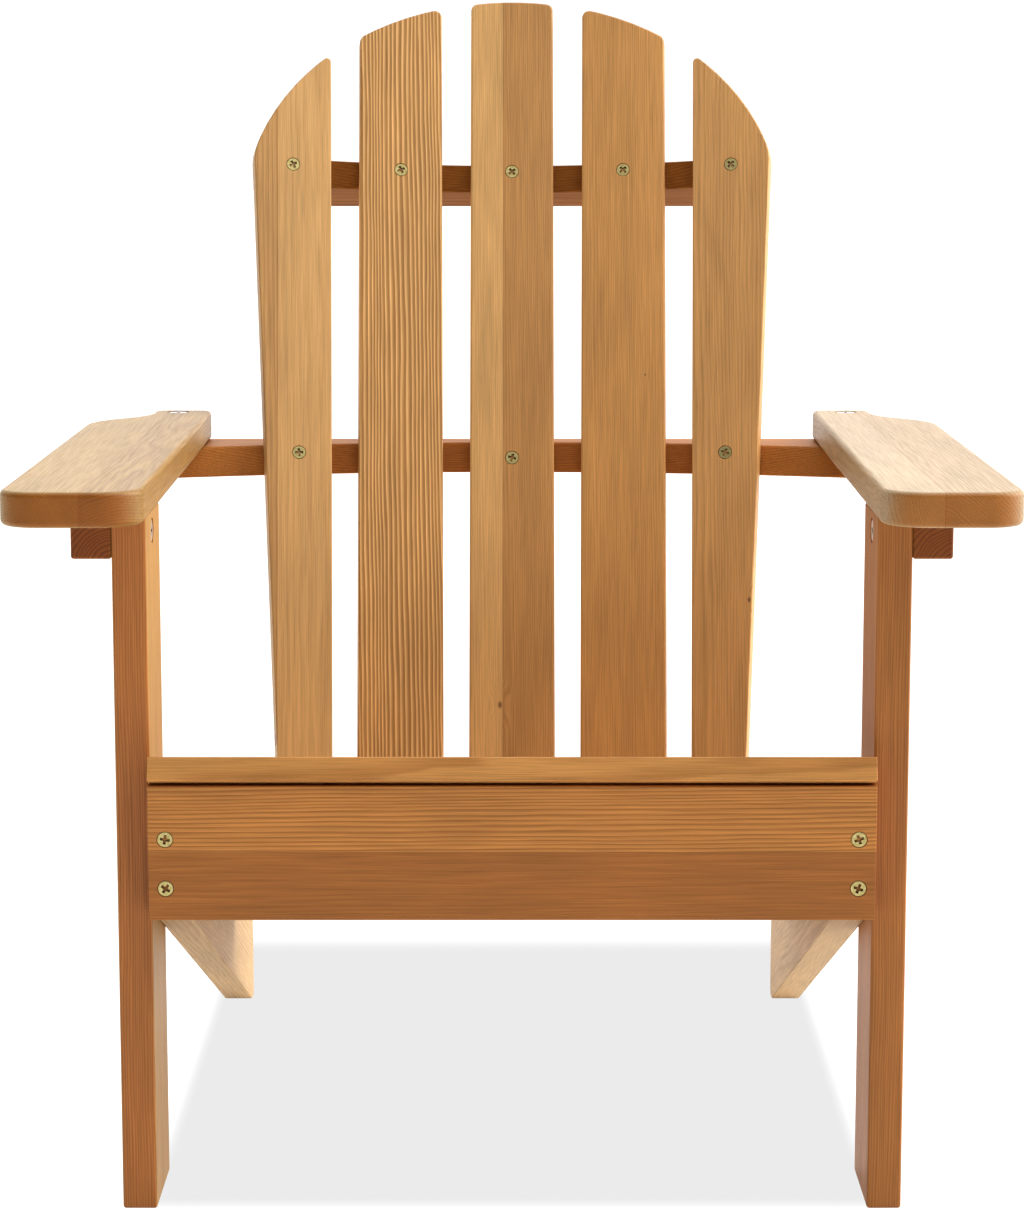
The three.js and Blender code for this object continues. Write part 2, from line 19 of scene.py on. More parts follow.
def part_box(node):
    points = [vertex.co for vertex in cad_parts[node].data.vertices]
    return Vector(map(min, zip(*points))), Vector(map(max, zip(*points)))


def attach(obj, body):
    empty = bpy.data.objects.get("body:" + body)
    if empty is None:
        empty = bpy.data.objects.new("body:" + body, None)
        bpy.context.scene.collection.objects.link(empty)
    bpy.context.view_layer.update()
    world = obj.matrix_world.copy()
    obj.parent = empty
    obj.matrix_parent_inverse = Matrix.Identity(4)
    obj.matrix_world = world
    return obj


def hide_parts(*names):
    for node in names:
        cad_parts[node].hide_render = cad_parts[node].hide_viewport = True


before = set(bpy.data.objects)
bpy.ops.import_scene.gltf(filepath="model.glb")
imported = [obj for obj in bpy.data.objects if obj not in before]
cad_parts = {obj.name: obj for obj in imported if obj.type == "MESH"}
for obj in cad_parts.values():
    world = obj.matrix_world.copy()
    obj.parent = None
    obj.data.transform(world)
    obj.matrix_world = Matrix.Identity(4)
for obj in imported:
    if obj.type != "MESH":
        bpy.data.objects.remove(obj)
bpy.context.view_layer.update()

log = logging.getLogger("armchair")

Piece = bpy.types.Object
Corner = tuple[float, float]
Head = tuple[Matrix, bool]

MM = 0.001
NEAR = 1e-5  # metres; corners of the same cut
TOUCHING = 1e-6  # metres; corners that lie on a plane
SIDES = (("left", -1), ("right", 1))
X_AXIS = Vector((1, 0, 0))
Y_AXIS = Vector((0, 1, 0))
Z_AXIS = Vector((0, 0, 1))
BODY = "root"


class Slot(Enum):
    """The record's material slots."""

    FRAME = "fir_frame"
    SLATS = "fir_slats"
    ARMS = "fir_arms"
    YELLOW = "yellow_zinc"
    BRIGHT = "bright_zinc"


class Pick(Enum):
    """What a selection in edit mode is made of."""

    VERTS = "VERT"
    EDGES = "EDGE"
    FACES = "FACE"


# ---------------------------------------------------------------- modelling by hand


def deselect() -> None:
    """Leaves nothing selected, the CAD nodes included."""
    if bpy.context.object and bpy.context.object.mode != "OBJECT":
        bpy.ops.object.mode_set(mode="OBJECT")
    bpy.ops.object.select_all(action="DESELECT")


def take(piece: Piece) -> None:
    """Selects one piece alone and makes it the active one."""
    deselect()
    piece.select_set(True)
    bpy.context.view_layer.objects.active = piece


def edit(piece: Piece) -> None:
    """Opens one piece alone in edit mode, all of it selected."""
    take(piece)
    bpy.ops.object.mode_set(mode="EDIT")
    bpy.ops.mesh.select_all(action="SELECT")


def close() -> None:
    """Leaves edit mode."""
    bpy.ops.object.mode_set(mode="OBJECT")


def fix_place() -> None:
    """Puts the active piece's place into its mesh."""
    bpy.ops.object.transform_apply(location=True, rotation=True, scale=True)


def link(thing: Piece) -> None:
    """Brings a new object into the scene."""
    bpy.context.scene.collection.objects.link(thing)


def pick(kind: Pick, test: Callable[[Vector], bool]) -> int:
    """Selects, in edit mode, the elements that are wholly at the places that a test accepts.

    Args:
        kind: whether vertices, edges or faces are selected.
        test: says whether a vertex at this place is wanted.

    Returns:
        How many elements are selected.
    """
    bpy.ops.mesh.select_mode(type=kind.value)
    bpy.ops.mesh.select_all(action="DESELECT")
    mesh = bpy.context.object.data
    shape = bmesh.from_edit_mesh(mesh)
    wanted = {vert.index for vert in shape.verts if test(vert.co)}
    elements = {Pick.VERTS: shape.verts, Pick.EDGES: shape.edges, Pick.FACES: shape.faces}[kind]
    count = 0
    for element in elements:
        verts = [element] if kind is Pick.VERTS else element.verts
        if all(vert.index in wanted for vert in verts):
            element.select_set(True)
            count += 1
    shape.select_flush_mode()
    bmesh.update_edit_mesh(mesh)
    return count


def finish_modifier(piece: Piece, kind: str, **settings: object) -> None:
    """Adds a modifier to a piece and applies it.

    Args:
        piece: the object that is modified.
        kind: the modifier's type.
        **settings: the modifier's own settings.
    """
    take(piece)
    modifier = piece.modifiers.new(kind.lower(), kind)
    for key, value in settings.items():
        setattr(modifier, key, value)
    bpy.ops.object.modifier_apply(modifier=modifier.name)


def settle(piece: Piece, place: Matrix, smooth_angle: float = 40.0) -> None:
    """Puts a finished piece where it belongs, with its place in its mesh, and shades it.

    Args:
        piece: the object, shaped in its own frame at the origin.
        place: its frame in the scene.
        smooth_angle: edges sharper than this many degrees stay hard.
    """
    take(piece)
    piece.matrix_world = place
    fix_place()
    bpy.ops.object.shade_smooth_by_angle(angle=math.radians(smooth_angle))
    finish_modifier(piece, "WEIGHTED_NORMAL", keep_sharp=True, weight=100)


def blank(name: str, low: Vector, high: Vector) -> Piece:
    """A squared blank between two corners, in its own frame.

    Args:
        name: the piece's name.
        low: lowest corner.
        high: highest corner.

    Returns:
        The new object.
    """
    deselect()
    bpy.ops.mesh.primitive_cube_add(size=1, location=(low + high) / 2, scale=high - low)
    fix_place()
    piece = bpy.context.object
    piece.name = piece.data.name = name
    return piece


def saw(point: Vector, outward: Vector) -> None:
    """Saws the open piece along a plane and closes the cut; what lies outward falls away."""
    bpy.ops.mesh.select_all(action="SELECT")
    bpy.ops.mesh.bisect(
        plane_co=point, plane_no=outward, use_fill=True, clear_outer=True, threshold=TOUCHING
    )


def score(point: Vector, normal: Vector) -> None:
    """Adds a loop of edges round the open piece where a plane crosses it."""
    bpy.ops.mesh.select_all(action="SELECT")
    bpy.ops.mesh.bisect(plane_co=point, plane_no=normal, threshold=TOUCHING)


def bevel(width: float, segments: int, clamp: bool = False) -> None:
    """Rounds the picked edges of the open piece."""
    bpy.ops.mesh.bevel(offset=width, segments=segments, affect="EDGES", clamp_overlap=clamp)


def extrude(depth: float, spread: float = 1.0) -> None:
    """Draws the picked face down by a depth and widens its end by a factor."""
    bpy.ops.mesh.extrude_region_move(TRANSFORM_OT_translate={"value": (0, 0, -depth)})
    bpy.ops.transform.resize(value=(spread, spread, 1))


def merge_flat(angle: float = 0.4) -> None:
    """Joins faces of the open piece that turn by less than this many degrees."""
    bpy.ops.mesh.select_all(action="SELECT")
    bpy.ops.mesh.dissolve_limited(angle_limit=math.radians(angle))


def ease_edges(radius: float, segments: int = 4, sharper_than: float = 28.0) -> None:
    """Rounds every hard edge of the open piece, as a router does.

    Args:
        radius: how far the rounding reaches from the edge.
        segments: facets across it.
        sharper_than: only edges that turn by more than this many degrees.
    """
    bpy.ops.mesh.select_mode(type="EDGE")
    merge_flat()
    bpy.ops.mesh.select_all(action="DESELECT")
    bpy.ops.mesh.edges_select_sharp(sharpness=math.radians(sharper_than))
    bevel(radius, segments, clamp=True)
    # Slivers that are left where two roundings meet are closed up.
    bpy.ops.mesh.select_all(action="SELECT")
    bpy.ops.mesh.remove_doubles(threshold=0.02 * MM)


def round_over(upward: int, radius: float, steps: int = 5) -> None:
    """Rounds the whole rim of the open piece's top or bottom, in thin steps that rise and draw in.

    Args:
        upward: 1 for the top, -1 for the bottom.
        radius: of the rounding; the piece grows by as much.
        steps: facets across it.
    """
    shape = bpy.context.object.data
    level = max(vert.co.z * upward for vert in bmesh.from_edit_mesh(shape).verts)
    pick(Pick.FACES, lambda place: place.z * upward > level - TOUCHING)
    for k in range(steps):
        before, after = (math.pi / 2 * share / steps for share in (k, k + 1))
        inward = radius * (math.cos(before) - math.cos(after))
        rise = radius * (math.sin(after) - math.sin(before))
        bpy.ops.mesh.inset(thickness=inward, depth=rise)


# ---------------------------------------------------------------- where the CAD puts things


@dataclass
class Placing:
    """The own frame of a CAD node: x along it, y across it, z out of its face."""

    matrix: Matrix
    low: Vector
    high: Vector
    points: np.ndarray = field(repr=False)

    def turn(self, direction: Vector) -> Vector:
        """A scene direction in the node's own frame."""
        return self.matrix.to_3x3().inverted() @ direction


def face_groups(node: str) -> tuple[np.ndarray, list[tuple[float, Vector]]]:
    """Flat faces of a CAD node, gathered by the way they face.

    Args:
        node: the CAD node's name.

    Returns:
        The node's vertices, and (area, direction) for each direction, the largest first.
    """
    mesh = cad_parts[node].data
    points = np.array([vert.co for vert in mesh.vertices], float)
    areas: dict[tuple[float, ...], list] = {}
    for face in mesh.polygons:
        key = tuple(round(c, 2) + 0.0 for c in face.normal)
        entry = areas.setdefault(key, [0.0, Vector((0, 0, 0))])
        entry[0] += face.area
        entry[1] += face.normal * face.area
    groups = [(area, total.normalized()) for area, total in areas.values()]
    return points, sorted(groups, key=lambda group: -group[0])


def framed(points: np.ndarray, turn: Matrix, shares: Vector) -> Placing:
    """A frame with given axes, its origin at a chosen point of the node's own box.

    Args:
        points: the node's vertices in the scene.
        turn: the axes, as columns.
        shares: where the origin is between the low and the high end of each axis.

    Returns:
        The frame.
    """
    own = points @ np.array(turn)
    low, high = Vector(own.min(0)), Vector(own.max(0))
    origin = low + (high - low) * shares
    matrix = Matrix.Translation(turn @ origin) @ turn.to_4x4()
    return Placing(matrix, low - origin, high - origin, own - np.array(origin))


def place_board(node: str, along: Vector, out: Vector) -> Placing:
    """Frame of a board, from the flat faces of its CAD node.

    Args:
        node: the CAD node's name.
        along: roughly the way the grain runs.
        out: roughly the way its broad or chosen face looks.

    Returns:
        The frame, with its origin at the middle of the board's own box.
    """
    points, groups = face_groups(node)
    total = sum(area for area, _ in groups)
    broad = [(area, way) for area, way in groups if area > 0.03 * total]
    z_way = max((way for _, way in broad), key=lambda way: way.dot(out))
    flat = [way for _, way in broad if abs(way.dot(z_way)) < 0.02]
    y_way = max(flat, key=lambda way: 1 - abs(way.dot(along)))
    for way in flat:
        if abs(way.dot(along)) < 0.45:
            y_way = way
            break
    x_way = y_way.cross(z_way).normalized()
    if x_way.dot(along) < 0:
        x_way = -x_way
    y_way = z_way.cross(x_way)
    turn = Matrix((x_way, y_way, z_way)).transposed()
    return framed(points, turn, Vector((0.5, 0.5, 0.5)))


def place_fastener(node: str) -> Placing:
    """Frame of a screw or bolt: its origin at the top of its head, z out of the wood.

    Args:
        node: the CAD node's name.

    Returns:
        The frame.
    """
    points, groups = face_groups(node)
    z_way = groups[0][1]
    heights = points @ np.array(z_way)
    middle = points.mean(0)
    radii = np.linalg.norm((points - middle) - np.outer((points - middle) @ np.array(z_way), z_way), axis=1)
    if heights[radii.argmax()] < (heights.min() + heights.max()) / 2:
        z_way = -z_way
    turn = z_way.to_track_quat("Z", "Y").to_matrix()
    return framed(points, turn, Vector((0.5, 0.5, 1.0)))


def outline(points: np.ndarray) -> list[Corner]:
    """Outer corners of a board in its own plane, anticlockwise.

    Args:
        points: the board's vertices in its own frame.

    Returns:
        The corners of their convex outline.
    """
    flat = sorted({(round(x, 6), round(y, 6)) for x, y, _ in points})

    def half(ordered: Sequence[Corner]) -> list[Corner]:
        """One side of the outline."""
        chain: list[Corner] = []
        for x, y in ordered:
            while len(chain) > 1:
                (ax, ay), (bx, by) = chain[-2], chain[-1]
                if (bx - ax) * (y - ay) - (by - ay) * (x - ax) > 1e-9:
                    break
                chain.pop()
            chain.append((x, y))
        return chain[:-1]

    hull = half(flat) + half(flat[::-1])
    kept: list[Corner] = []
    for k, (x, y) in enumerate(hull):
        bx, by = hull[(k + 1) % len(hull)]
        ax, ay = kept[-1] if kept else hull[-1]
        run = math.hypot(bx - ax, by - ay)
        bulge = abs((bx - ax) * (y - ay) - (by - ay) * (x - ax)) / max(run, 1e-9)
        if math.hypot(x - ax, y - ay) > 0.3 * MM and bulge > 0.012 * MM:
            kept.append((x, y))
    return kept


# ---------------------------------------------------------------- finishes


def linear(code: str) -> tuple[float, float, float, float]:
    """An sRGB hex colour as linear values.

    Args:
        code: the colour, such as "#c89662".

    Returns:
        Red, green, blue and a full alpha.
    """
    parts = [int(code[k : k + 2], 16) / 255 for k in (1, 3, 5)]
    red, green, blue = (c / 12.92 if c <= 0.04045 else ((c + 0.055) / 1.055) ** 2.4 for c in parts)
    return red, green, blue, 1.0


def add_node(
    tree: bpy.types.NodeTree, kind: str, inputs: dict | None = None, **settings: object
) -> bpy.types.Node:
    """Adds one node with its settings, values and links.

    Args:
        tree: the node tree it goes into.
        kind: the node's type.
        inputs: for each input, by name or number, a value or the socket that feeds it.
        **settings: the node's own settings.

    Returns:
        The new node.
    """
    node = tree.nodes.new(kind)
    for key, value in settings.items():
        setattr(node, key, value)
    for key, value in (inputs or {}).items():
        if isinstance(value, bpy.types.NodeSocket):
            tree.links.new(value, node.inputs[key])
        else:
            node.inputs[key].default_value = value
    return node


@dataclass(frozen=True)
class Stave:
    """One strip of wood in a glued-up board: its colours and how its rings lie."""

    light: str = "#cf9c64"
    dark: str = "#b27c47"
    ring: float = 2.0
    heart: tuple[float, float] = (60.0, 38.0)
    strength: float = 0.5


@dataclass(frozen=True)
class FirWood:
    """Oiled fir, planed and sanded.

    Each growth ring goes from pale early wood to a thin, darker and harder late line, so faces cut across the
    rings show straight lines and flat-sawn ones show arches. The oil soaks further into end grain, which
    is therefore deeper brown. Satin, never glassy.
    """

    name: str
    staves: tuple[Stave, ...] = (Stave(),)
    joint: float = 0.0
    seed: float = 0.0
    runout: float = 0.01
    wander: float = 1.0
    knot: tuple[float, float, float] | None = None
    roughness: float = 0.5
    gloss: float = 0.42
    # tint of the narrow faces: painted shade where it isn't white
    flank_shade: str = "#ffffff"
    # end-grain tint: oil soak, kept paler on the arms as painted light on their front ends
    soak_and_light: str = "#d6ac76"

    def rings(self, tree: bpy.types.NodeTree, place: bpy.types.NodeSocket, stave: Stave) -> dict:
        """Ring pattern and colour of one stave.

        Args:
            tree: the material's node tree.
            place: coordinates along, across and through the board, in millimetres.
            stave: the strip of wood.

        Returns:
            Sockets: "color" and "late", which is how far a point is late wood.
        """
        # Slow bends of the grain: a few millimetres over about 200 mm of length and 30 mm of width.
        drift = add_node(
            tree, "ShaderNodeVectorMath", {0: place, 1: (1 / 220, 1 / 34, 1 / 34)}, operation="MULTIPLY"
        )
        moved = add_node(
            tree,
            "ShaderNodeVectorMath",
            {0: drift.outputs[0], 1: (self.seed, self.seed * 1.7, stave.ring)},
            operation="ADD",
        )
        bends = add_node(
            tree, "ShaderNodeTexNoise", {"Vector": moved.outputs[0], "Scale": 1.0, "Detail": 2.0}
        )
        split = add_node(tree, "ShaderNodeSeparateXYZ", {0: place})
        along, across, through = split.outputs
        slope = add_node(
            tree,
            "ShaderNodeMath",
            {0: along, 1: self.runout, 2: stave.heart[0]},
            operation="MULTIPLY_ADD",
        )
        sideways = add_node(
            tree, "ShaderNodeMath", {0: across, 1: slope.outputs[0]}, operation="SUBTRACT"
        )
        deep = add_node(tree, "ShaderNodeMath", {0: through, 1: stave.heart[1]}, operation="SUBTRACT")
        flat = add_node(
            tree, "ShaderNodeCombineXYZ", {0: sideways.outputs[0], 1: deep.outputs[0], 2: 0.0}
        )
        reach = add_node(tree, "ShaderNodeVectorMath", {0: flat.outputs[0]}, operation="LENGTH")
        bend = add_node(
            tree,
            "ShaderNodeMath",
            {0: bends.outputs["Fac"], 1: 9.0 * self.wander, 2: reach.outputs["Value"]},
            operation="MULTIPLY_ADD",
        )
        distance = bend.outputs[0]
        if self.knot is not None:
            knot_off = add_node(
                tree,
                "ShaderNodeVectorMath",
                {0: place, 1: (*self.knot[:2], 0.0)},
                operation="SUBTRACT",
            )
            knot_flat = add_node(
                tree,
                "ShaderNodeVectorMath",
                {0: knot_off.outputs[0], 1: (0.45, 1.0, 0.0)},
                operation="MULTIPLY",
            )
            knot_reach = add_node(
                tree, "ShaderNodeVectorMath", {0: knot_flat.outputs[0]}, operation="LENGTH"
            )
            swell = add_node(
                tree,
                "ShaderNodeMapRange",
                {
                    "Value": knot_reach.outputs["Value"],
                    "From Min": 0.0,
                    "From Max": self.knot[2] * 8,
                    "To Min": self.knot[2] * 3,
                    "To Max": 0.0,
                },
                interpolation_type="SMOOTHERSTEP",
            )
            pushed = add_node(
                tree, "ShaderNodeMath", {0: distance, 1: swell.outputs[0]}, operation="ADD"
            )
            distance = pushed.outputs[0]
        # Ring widths vary from year to year: bands a few rings wide.
        years = add_node(
            tree, "ShaderNodeMath", {0: distance, 1: 0.11 / stave.ring}, operation="MULTIPLY"
        )
        uneven = add_node(
            tree,
            "ShaderNodeTexNoise",
            {"W": years.outputs[0], "Scale": 1.0, "Detail": 1.0},
            noise_dimensions="1D",
        )
        count = add_node(
            tree, "ShaderNodeMath", {0: distance, 1: 1 / stave.ring}, operation="MULTIPLY"
        )
        ring = add_node(
            tree,
            "ShaderNodeMath",
            {0: uneven.outputs["Fac"], 1: 4.5, 2: count.outputs[0]},
            operation="MULTIPLY_ADD",
        )
        # Fibres stray across the ring lines, 45 mm long and 1.1 mm wide, so the lines are never ruled.
        stray = add_node(
            tree, "ShaderNodeVectorMath", {0: place, 1: (1 / 45, 1 / 1.1, 1 / 1.1)}, operation="MULTIPLY"
        )
        strays = add_node(
            tree, "ShaderNodeTexNoise", {"Vector": stray.outputs[0], "Scale": 1.0, "Detail": 2.0}
        )
        ragged = add_node(
            tree,
            "ShaderNodeMath",
            {0: strays.outputs["Fac"], 1: 0.9 / stave.ring, 2: ring.outputs[0]},
            operation="MULTIPLY_ADD",
        )
        phase = add_node(tree, "ShaderNodeMath", {0: ragged.outputs[0]}, operation="FRACT")
        late = add_node(tree, "ShaderNodeValToRGB", {"Fac": phase.outputs[0]})
        ramp = late.color_ramp
        ramp.interpolation = "B_SPLINE"
        ramp.elements[0].position, ramp.elements[0].color = 0.0, (0.12, 0.12, 0.12, 1)
        ramp.elements[1].position, ramp.elements[1].color = 1.0, (0.12, 0.12, 0.12, 1)
        for spot, value in ((0.3, 0.0), (0.55, 0.4), (0.8, 1.0), (0.92, 1.0)):
            ramp.elements.new(spot).color = (value, value, value, 1)
        color = add_node(
            tree,
            "ShaderNodeMix",
            {"Factor": late.outputs["Color"], 6: linear(stave.light), 7: linear(stave.dark)},
            data_type="RGBA",
        )
        soft = add_node(
            tree,
            "ShaderNodeMix",
            {"Factor": stave.strength, 6: linear(stave.light), 7: color.outputs[2]},
            data_type="RGBA",
        )
        return {"color": soft.outputs[2], "late": late.outputs["Color"]}

    def material(self, placing: Placing, grain: Vector) -> bpy.types.Material:
        """The finish as laid on one board.

        Args:
            placing: the board's own frame, which centres and turns the pattern.
            grain: the way the grain runs in the scene.

        Returns:
            The material.
        """
        finish = bpy.data.materials.new(self.name)
        finish.use_nodes = True
        tree = finish.node_tree
        tree.nodes.clear()
        coords = add_node(tree, "ShaderNodeTexCoord")
        mapping = add_node(
            tree,
            "ShaderNodeMapping",
            {
                "Vector": coords.outputs["Object"],
                "Location": placing.matrix.translation,
                "Rotation": placing.matrix.to_euler("XYZ"),
                "Scale": (MM, MM, MM),
            },
            vector_type="TEXTURE",
        )
        place = mapping.outputs[0]
        parts = [self.rings(tree, place, stave) for stave in self.staves]
        color, late = parts[0]["color"], parts[0]["late"]
        if len(parts) > 1:
            split = add_node(tree, "ShaderNodeSeparateXYZ", {0: place})
            beyond = add_node(
                tree, "ShaderNodeMath", {0: split.outputs[1], 1: self.joint}, operation="GREATER_THAN"
            )
            both = add_node(
                tree,
                "ShaderNodeMix",
                {"Factor": beyond.outputs[0], 6: color, 7: parts[1]["color"]},
                data_type="RGBA",
            )
            both_late = add_node(
                tree,
                "ShaderNodeMix",
                {"Factor": beyond.outputs[0], 6: late, 7: parts[1]["late"]},
                data_type="RGBA",
            )
            late = both_late.outputs[2]
            # The glue line, drawn 0.4 mm wide so that it shows.
            gap = add_node(
                tree,
                "ShaderNodeMath",
                {0: split.outputs[1], 1: self.joint, 2: 0.2},
                operation="COMPARE",
            )
            line = add_node(
                tree,
                "ShaderNodeMix",
                {"Factor": gap.outputs[0], 6: both.outputs[2], 7: linear("#a4733f")},
                data_type="RGBA",
            )
            color = line.outputs[2]

        # Fibres: streaks about 0.8 mm wide and 55 mm long, a little coarser than real ones so that they show.
        fine = add_node(
            tree,
            "ShaderNodeVectorMath",
            {0: place, 1: (1 / 55, 1 / 0.8, 1 / 0.8)},
            operation="MULTIPLY",
        )
        fibre = add_node(
            tree,
            "ShaderNodeTexNoise",
            {"Vector": fine.outputs[0], "Scale": 1.0, "Detail": 3.0, "Roughness": 0.6},
        )
        # Cloudy soaking of the oil over about 120 by 20 mm.
        broad = add_node(
            tree,
            "ShaderNodeVectorMath",
            {0: place, 1: (1 / 120, 1 / 20, 1 / 20)},
            operation="MULTIPLY",
        )
        shifted = add_node(
            tree,
            "ShaderNodeVectorMath",
            {0: broad.outputs[0], 1: (self.seed * 3, 7.0, self.seed)},
            operation="ADD",
        )
        cloud = add_node(
            tree,
            "ShaderNodeTexNoise",
            {"Vector": shifted.outputs[0], "Scale": 1.0, "Detail": 1.0, "Roughness": 0.5},
        )
        streak = add_node(
            tree,
            "ShaderNodeMapRange",
            {"Value": fibre.outputs["Fac"], "From Min": 0.3, "From Max": 0.7, "To Min": 0.82, "To Max": 1.14},
        )
        patch = add_node(
            tree,
            "ShaderNodeMapRange",
            {"Value": cloud.outputs["Fac"], "From Min": 0.3, "From Max": 0.7, "To Min": 0.93, "To Max": 1.06},
        )
        shade = add_node(
            tree,
            "ShaderNodeMath",
            {0: streak.outputs[0], 1: patch.outputs[0]},
            operation="MULTIPLY",
        )
        # The narrow faces get a tint of their own, which on the left leg is painted shade setting them darker
        # than its painted-light broad faces; where the surface crosses the grain the open ends drink the oil.
        across = placing.matrix.to_3x3() @ Y_AXIS
        for way, tint in ((across, self.flank_shade), (grain, self.soak_and_light)):
            facing = add_node(
                tree,
                "ShaderNodeVectorMath",
                {0: coords.outputs["Normal"], 1: way},
                operation="DOT_PRODUCT",
            )
            turned = add_node(
                tree, "ShaderNodeMath", {0: facing.outputs["Value"]}, operation="ABSOLUTE"
            )
            share = add_node(
                tree,
                "ShaderNodeMapRange",
                {"Value": turned.outputs[0], "From Min": 0.3, "From Max": 0.95},
                interpolation_type="SMOOTHSTEP",
            )
            tinted = add_node(
                tree,
                "ShaderNodeMix",
                {"Factor": share.outputs[0], 6: color, 7: linear(tint)},
                data_type="RGBA",
                blend_type="MULTIPLY",
            )
            color = tinted.outputs[2]
        lit = add_node(
            tree,
            "ShaderNodeVectorMath",
            {0: color, "Scale": shade.outputs[0]},
            operation="SCALE",
        )
        toned = lit.outputs[0]
        if self.knot is not None:
            off = add_node(
                tree,
                "ShaderNodeVectorMath",
                {0: place, 1: (*self.knot[:2], 0.0)},
                operation="SUBTRACT",
            )
            flat = add_node(
                tree,
                "ShaderNodeVectorMath",
                {0: off.outputs[0], 1: (0.6, 1.0, 0.0)},
                operation="MULTIPLY",
            )
            reach = add_node(tree, "ShaderNodeVectorMath", {0: flat.outputs[0]}, operation="LENGTH")
            eye = add_node(
                tree,
                "ShaderNodeMapRange",
                {
                    "Value": reach.outputs["Value"],
                    "From Min": self.knot[2] * 0.3,
                    "From Max": self.knot[2] * 1.5,
                    "To Min": 0.7,
                    "To Max": 0.0,
                },
                interpolation_type="SMOOTHSTEP",
            )
            dark = add_node(
                tree,
                "ShaderNodeMix",
                {"Factor": eye.outputs[0], 6: toned, 7: linear("#5d3416")},
                data_type="RGBA",
            )
            toned = dark.outputs[2]
        sheen = add_node(
            tree,
            "ShaderNodeMapRange",
            {
                "Value": fibre.outputs["Fac"],
                "From Min": 0.25,
                "From Max": 0.75,
                "To Min": self.roughness + 0.07,
                "To Max": self.roughness - 0.06,
            },
        )
        # Late wood stands a few hundredths of a millimetre proud after sanding.
        relief = add_node(
            tree,
            "ShaderNodeMath",
            {0: fibre.outputs["Fac"], 1: 0.7, 2: late},
            operation="MULTIPLY_ADD",
        )
        bump = add_node(
            tree,
            "ShaderNodeBump",
            {"Height": relief.outputs[0], "Strength": 0.35, "Distance": 0.00012},
        )
        shader = add_node(
            tree,
            "ShaderNodeBsdfPrincipled",
            {
                "Base Color": toned,
                "Roughness": sheen.outputs[0],
                "Normal": bump.outputs[0],
                "IOR": 1.5,
                "Specular IOR Level": self.gloss,
            },
        )
        add_node(tree, "ShaderNodeOutputMaterial", {"Surface": shader.outputs[0]})
        return finish


@dataclass(frozen=True)
class ZincPlate:
    """Zinc on turned steel: soft metal shine, clouded by the bath, with painted shade in its recess."""

    name: str
    bright: str
    dull: str
    roughness: float
    shade: str
    cloud: float = 2.2

    def recess(self) -> bpy.types.Material:
        """The recess, painted near black as shade, since the light hardly enters it."""
        finish = bpy.data.materials.new(f"{self.name}_recess")
        finish.use_nodes = True
        tree = finish.node_tree
        tree.nodes.clear()
        coords = add_node(tree, "ShaderNodeTexCoord")
        # Painted shade of the recess, mottled from its shade colour to near black in grains about 0.8 mm
        # across.
        residue = add_node(
            tree,
            "ShaderNodeTexNoise",
            {"Vector": coords.outputs["Object"], "Scale": 1 / (0.8 * MM), "Detail": 3.0},
        )
        tint = add_node(
            tree,
            "ShaderNodeMix",
            {"Factor": residue.outputs["Fac"], 6: linear(self.shade), 7: linear("#0c0906")},
            data_type="RGBA",
        )
        shader = add_node(
            tree,
            "ShaderNodeBsdfPrincipled",
            {"Base Color": tint.outputs[2], "Roughness": 0.8, "Specular IOR Level": 0.2},
        )
        add_node(tree, "ShaderNodeOutputMaterial", {"Surface": shader.outputs[0]})
        return finish

    def material(self) -> bpy.types.Material:
        """The finish, shared by every fastener that has it."""
        finish = bpy.data.materials.new(self.name)
        finish.use_nodes = True
        tree = finish.node_tree
        tree.nodes.clear()
        coords = add_node(tree, "ShaderNodeTexCoord")
        # Clouds of passivation about 2 mm across.
        cloud = add_node(
            tree,
            "ShaderNodeTexNoise",
            {"Vector": coords.outputs["Object"], "Scale": 1 / (self.cloud * MM), "Detail": 3.0},
        )
        tint = add_node(
            tree,
            "ShaderNodeMix",
            {"Factor": cloud.outputs["Fac"], 6: linear(self.bright), 7: linear(self.dull)},
            data_type="RGBA",
        )
        # Fine scratches of the driver and the drum, 0.15 mm grit.
        grit = add_node(
            tree,
            "ShaderNodeTexNoise",
            {"Vector": coords.outputs["Object"], "Scale": 1 / (0.15 * MM), "Detail": 2.0},
        )
        rough = add_node(
            tree,
            "ShaderNodeMapRange",
            {
                "Value": cloud.outputs["Fac"],
                "From Min": 0.3,
                "From Max": 0.7,
                "To Min": self.roughness - 0.07,
                "To Max": self.roughness + 0.09,
            },
        )
        bump = add_node(
            tree,
            "ShaderNodeBump",
            {"Height": grit.outputs["Fac"], "Strength": 0.25, "Distance": 0.00004},
        )
        shader = add_node(
            tree,
            "ShaderNodeBsdfPrincipled",
            {
                "Base Color": tint.outputs[2],
                "Roughness": rough.outputs[0],
                "Normal": bump.outputs[0],
                "Metallic": 1.0,
            },
        )
        add_node(tree, "ShaderNodeOutputMaterial", {"Surface": shader.outputs[0]})
        return finish


# ---------------------------------------------------------------- fasteners


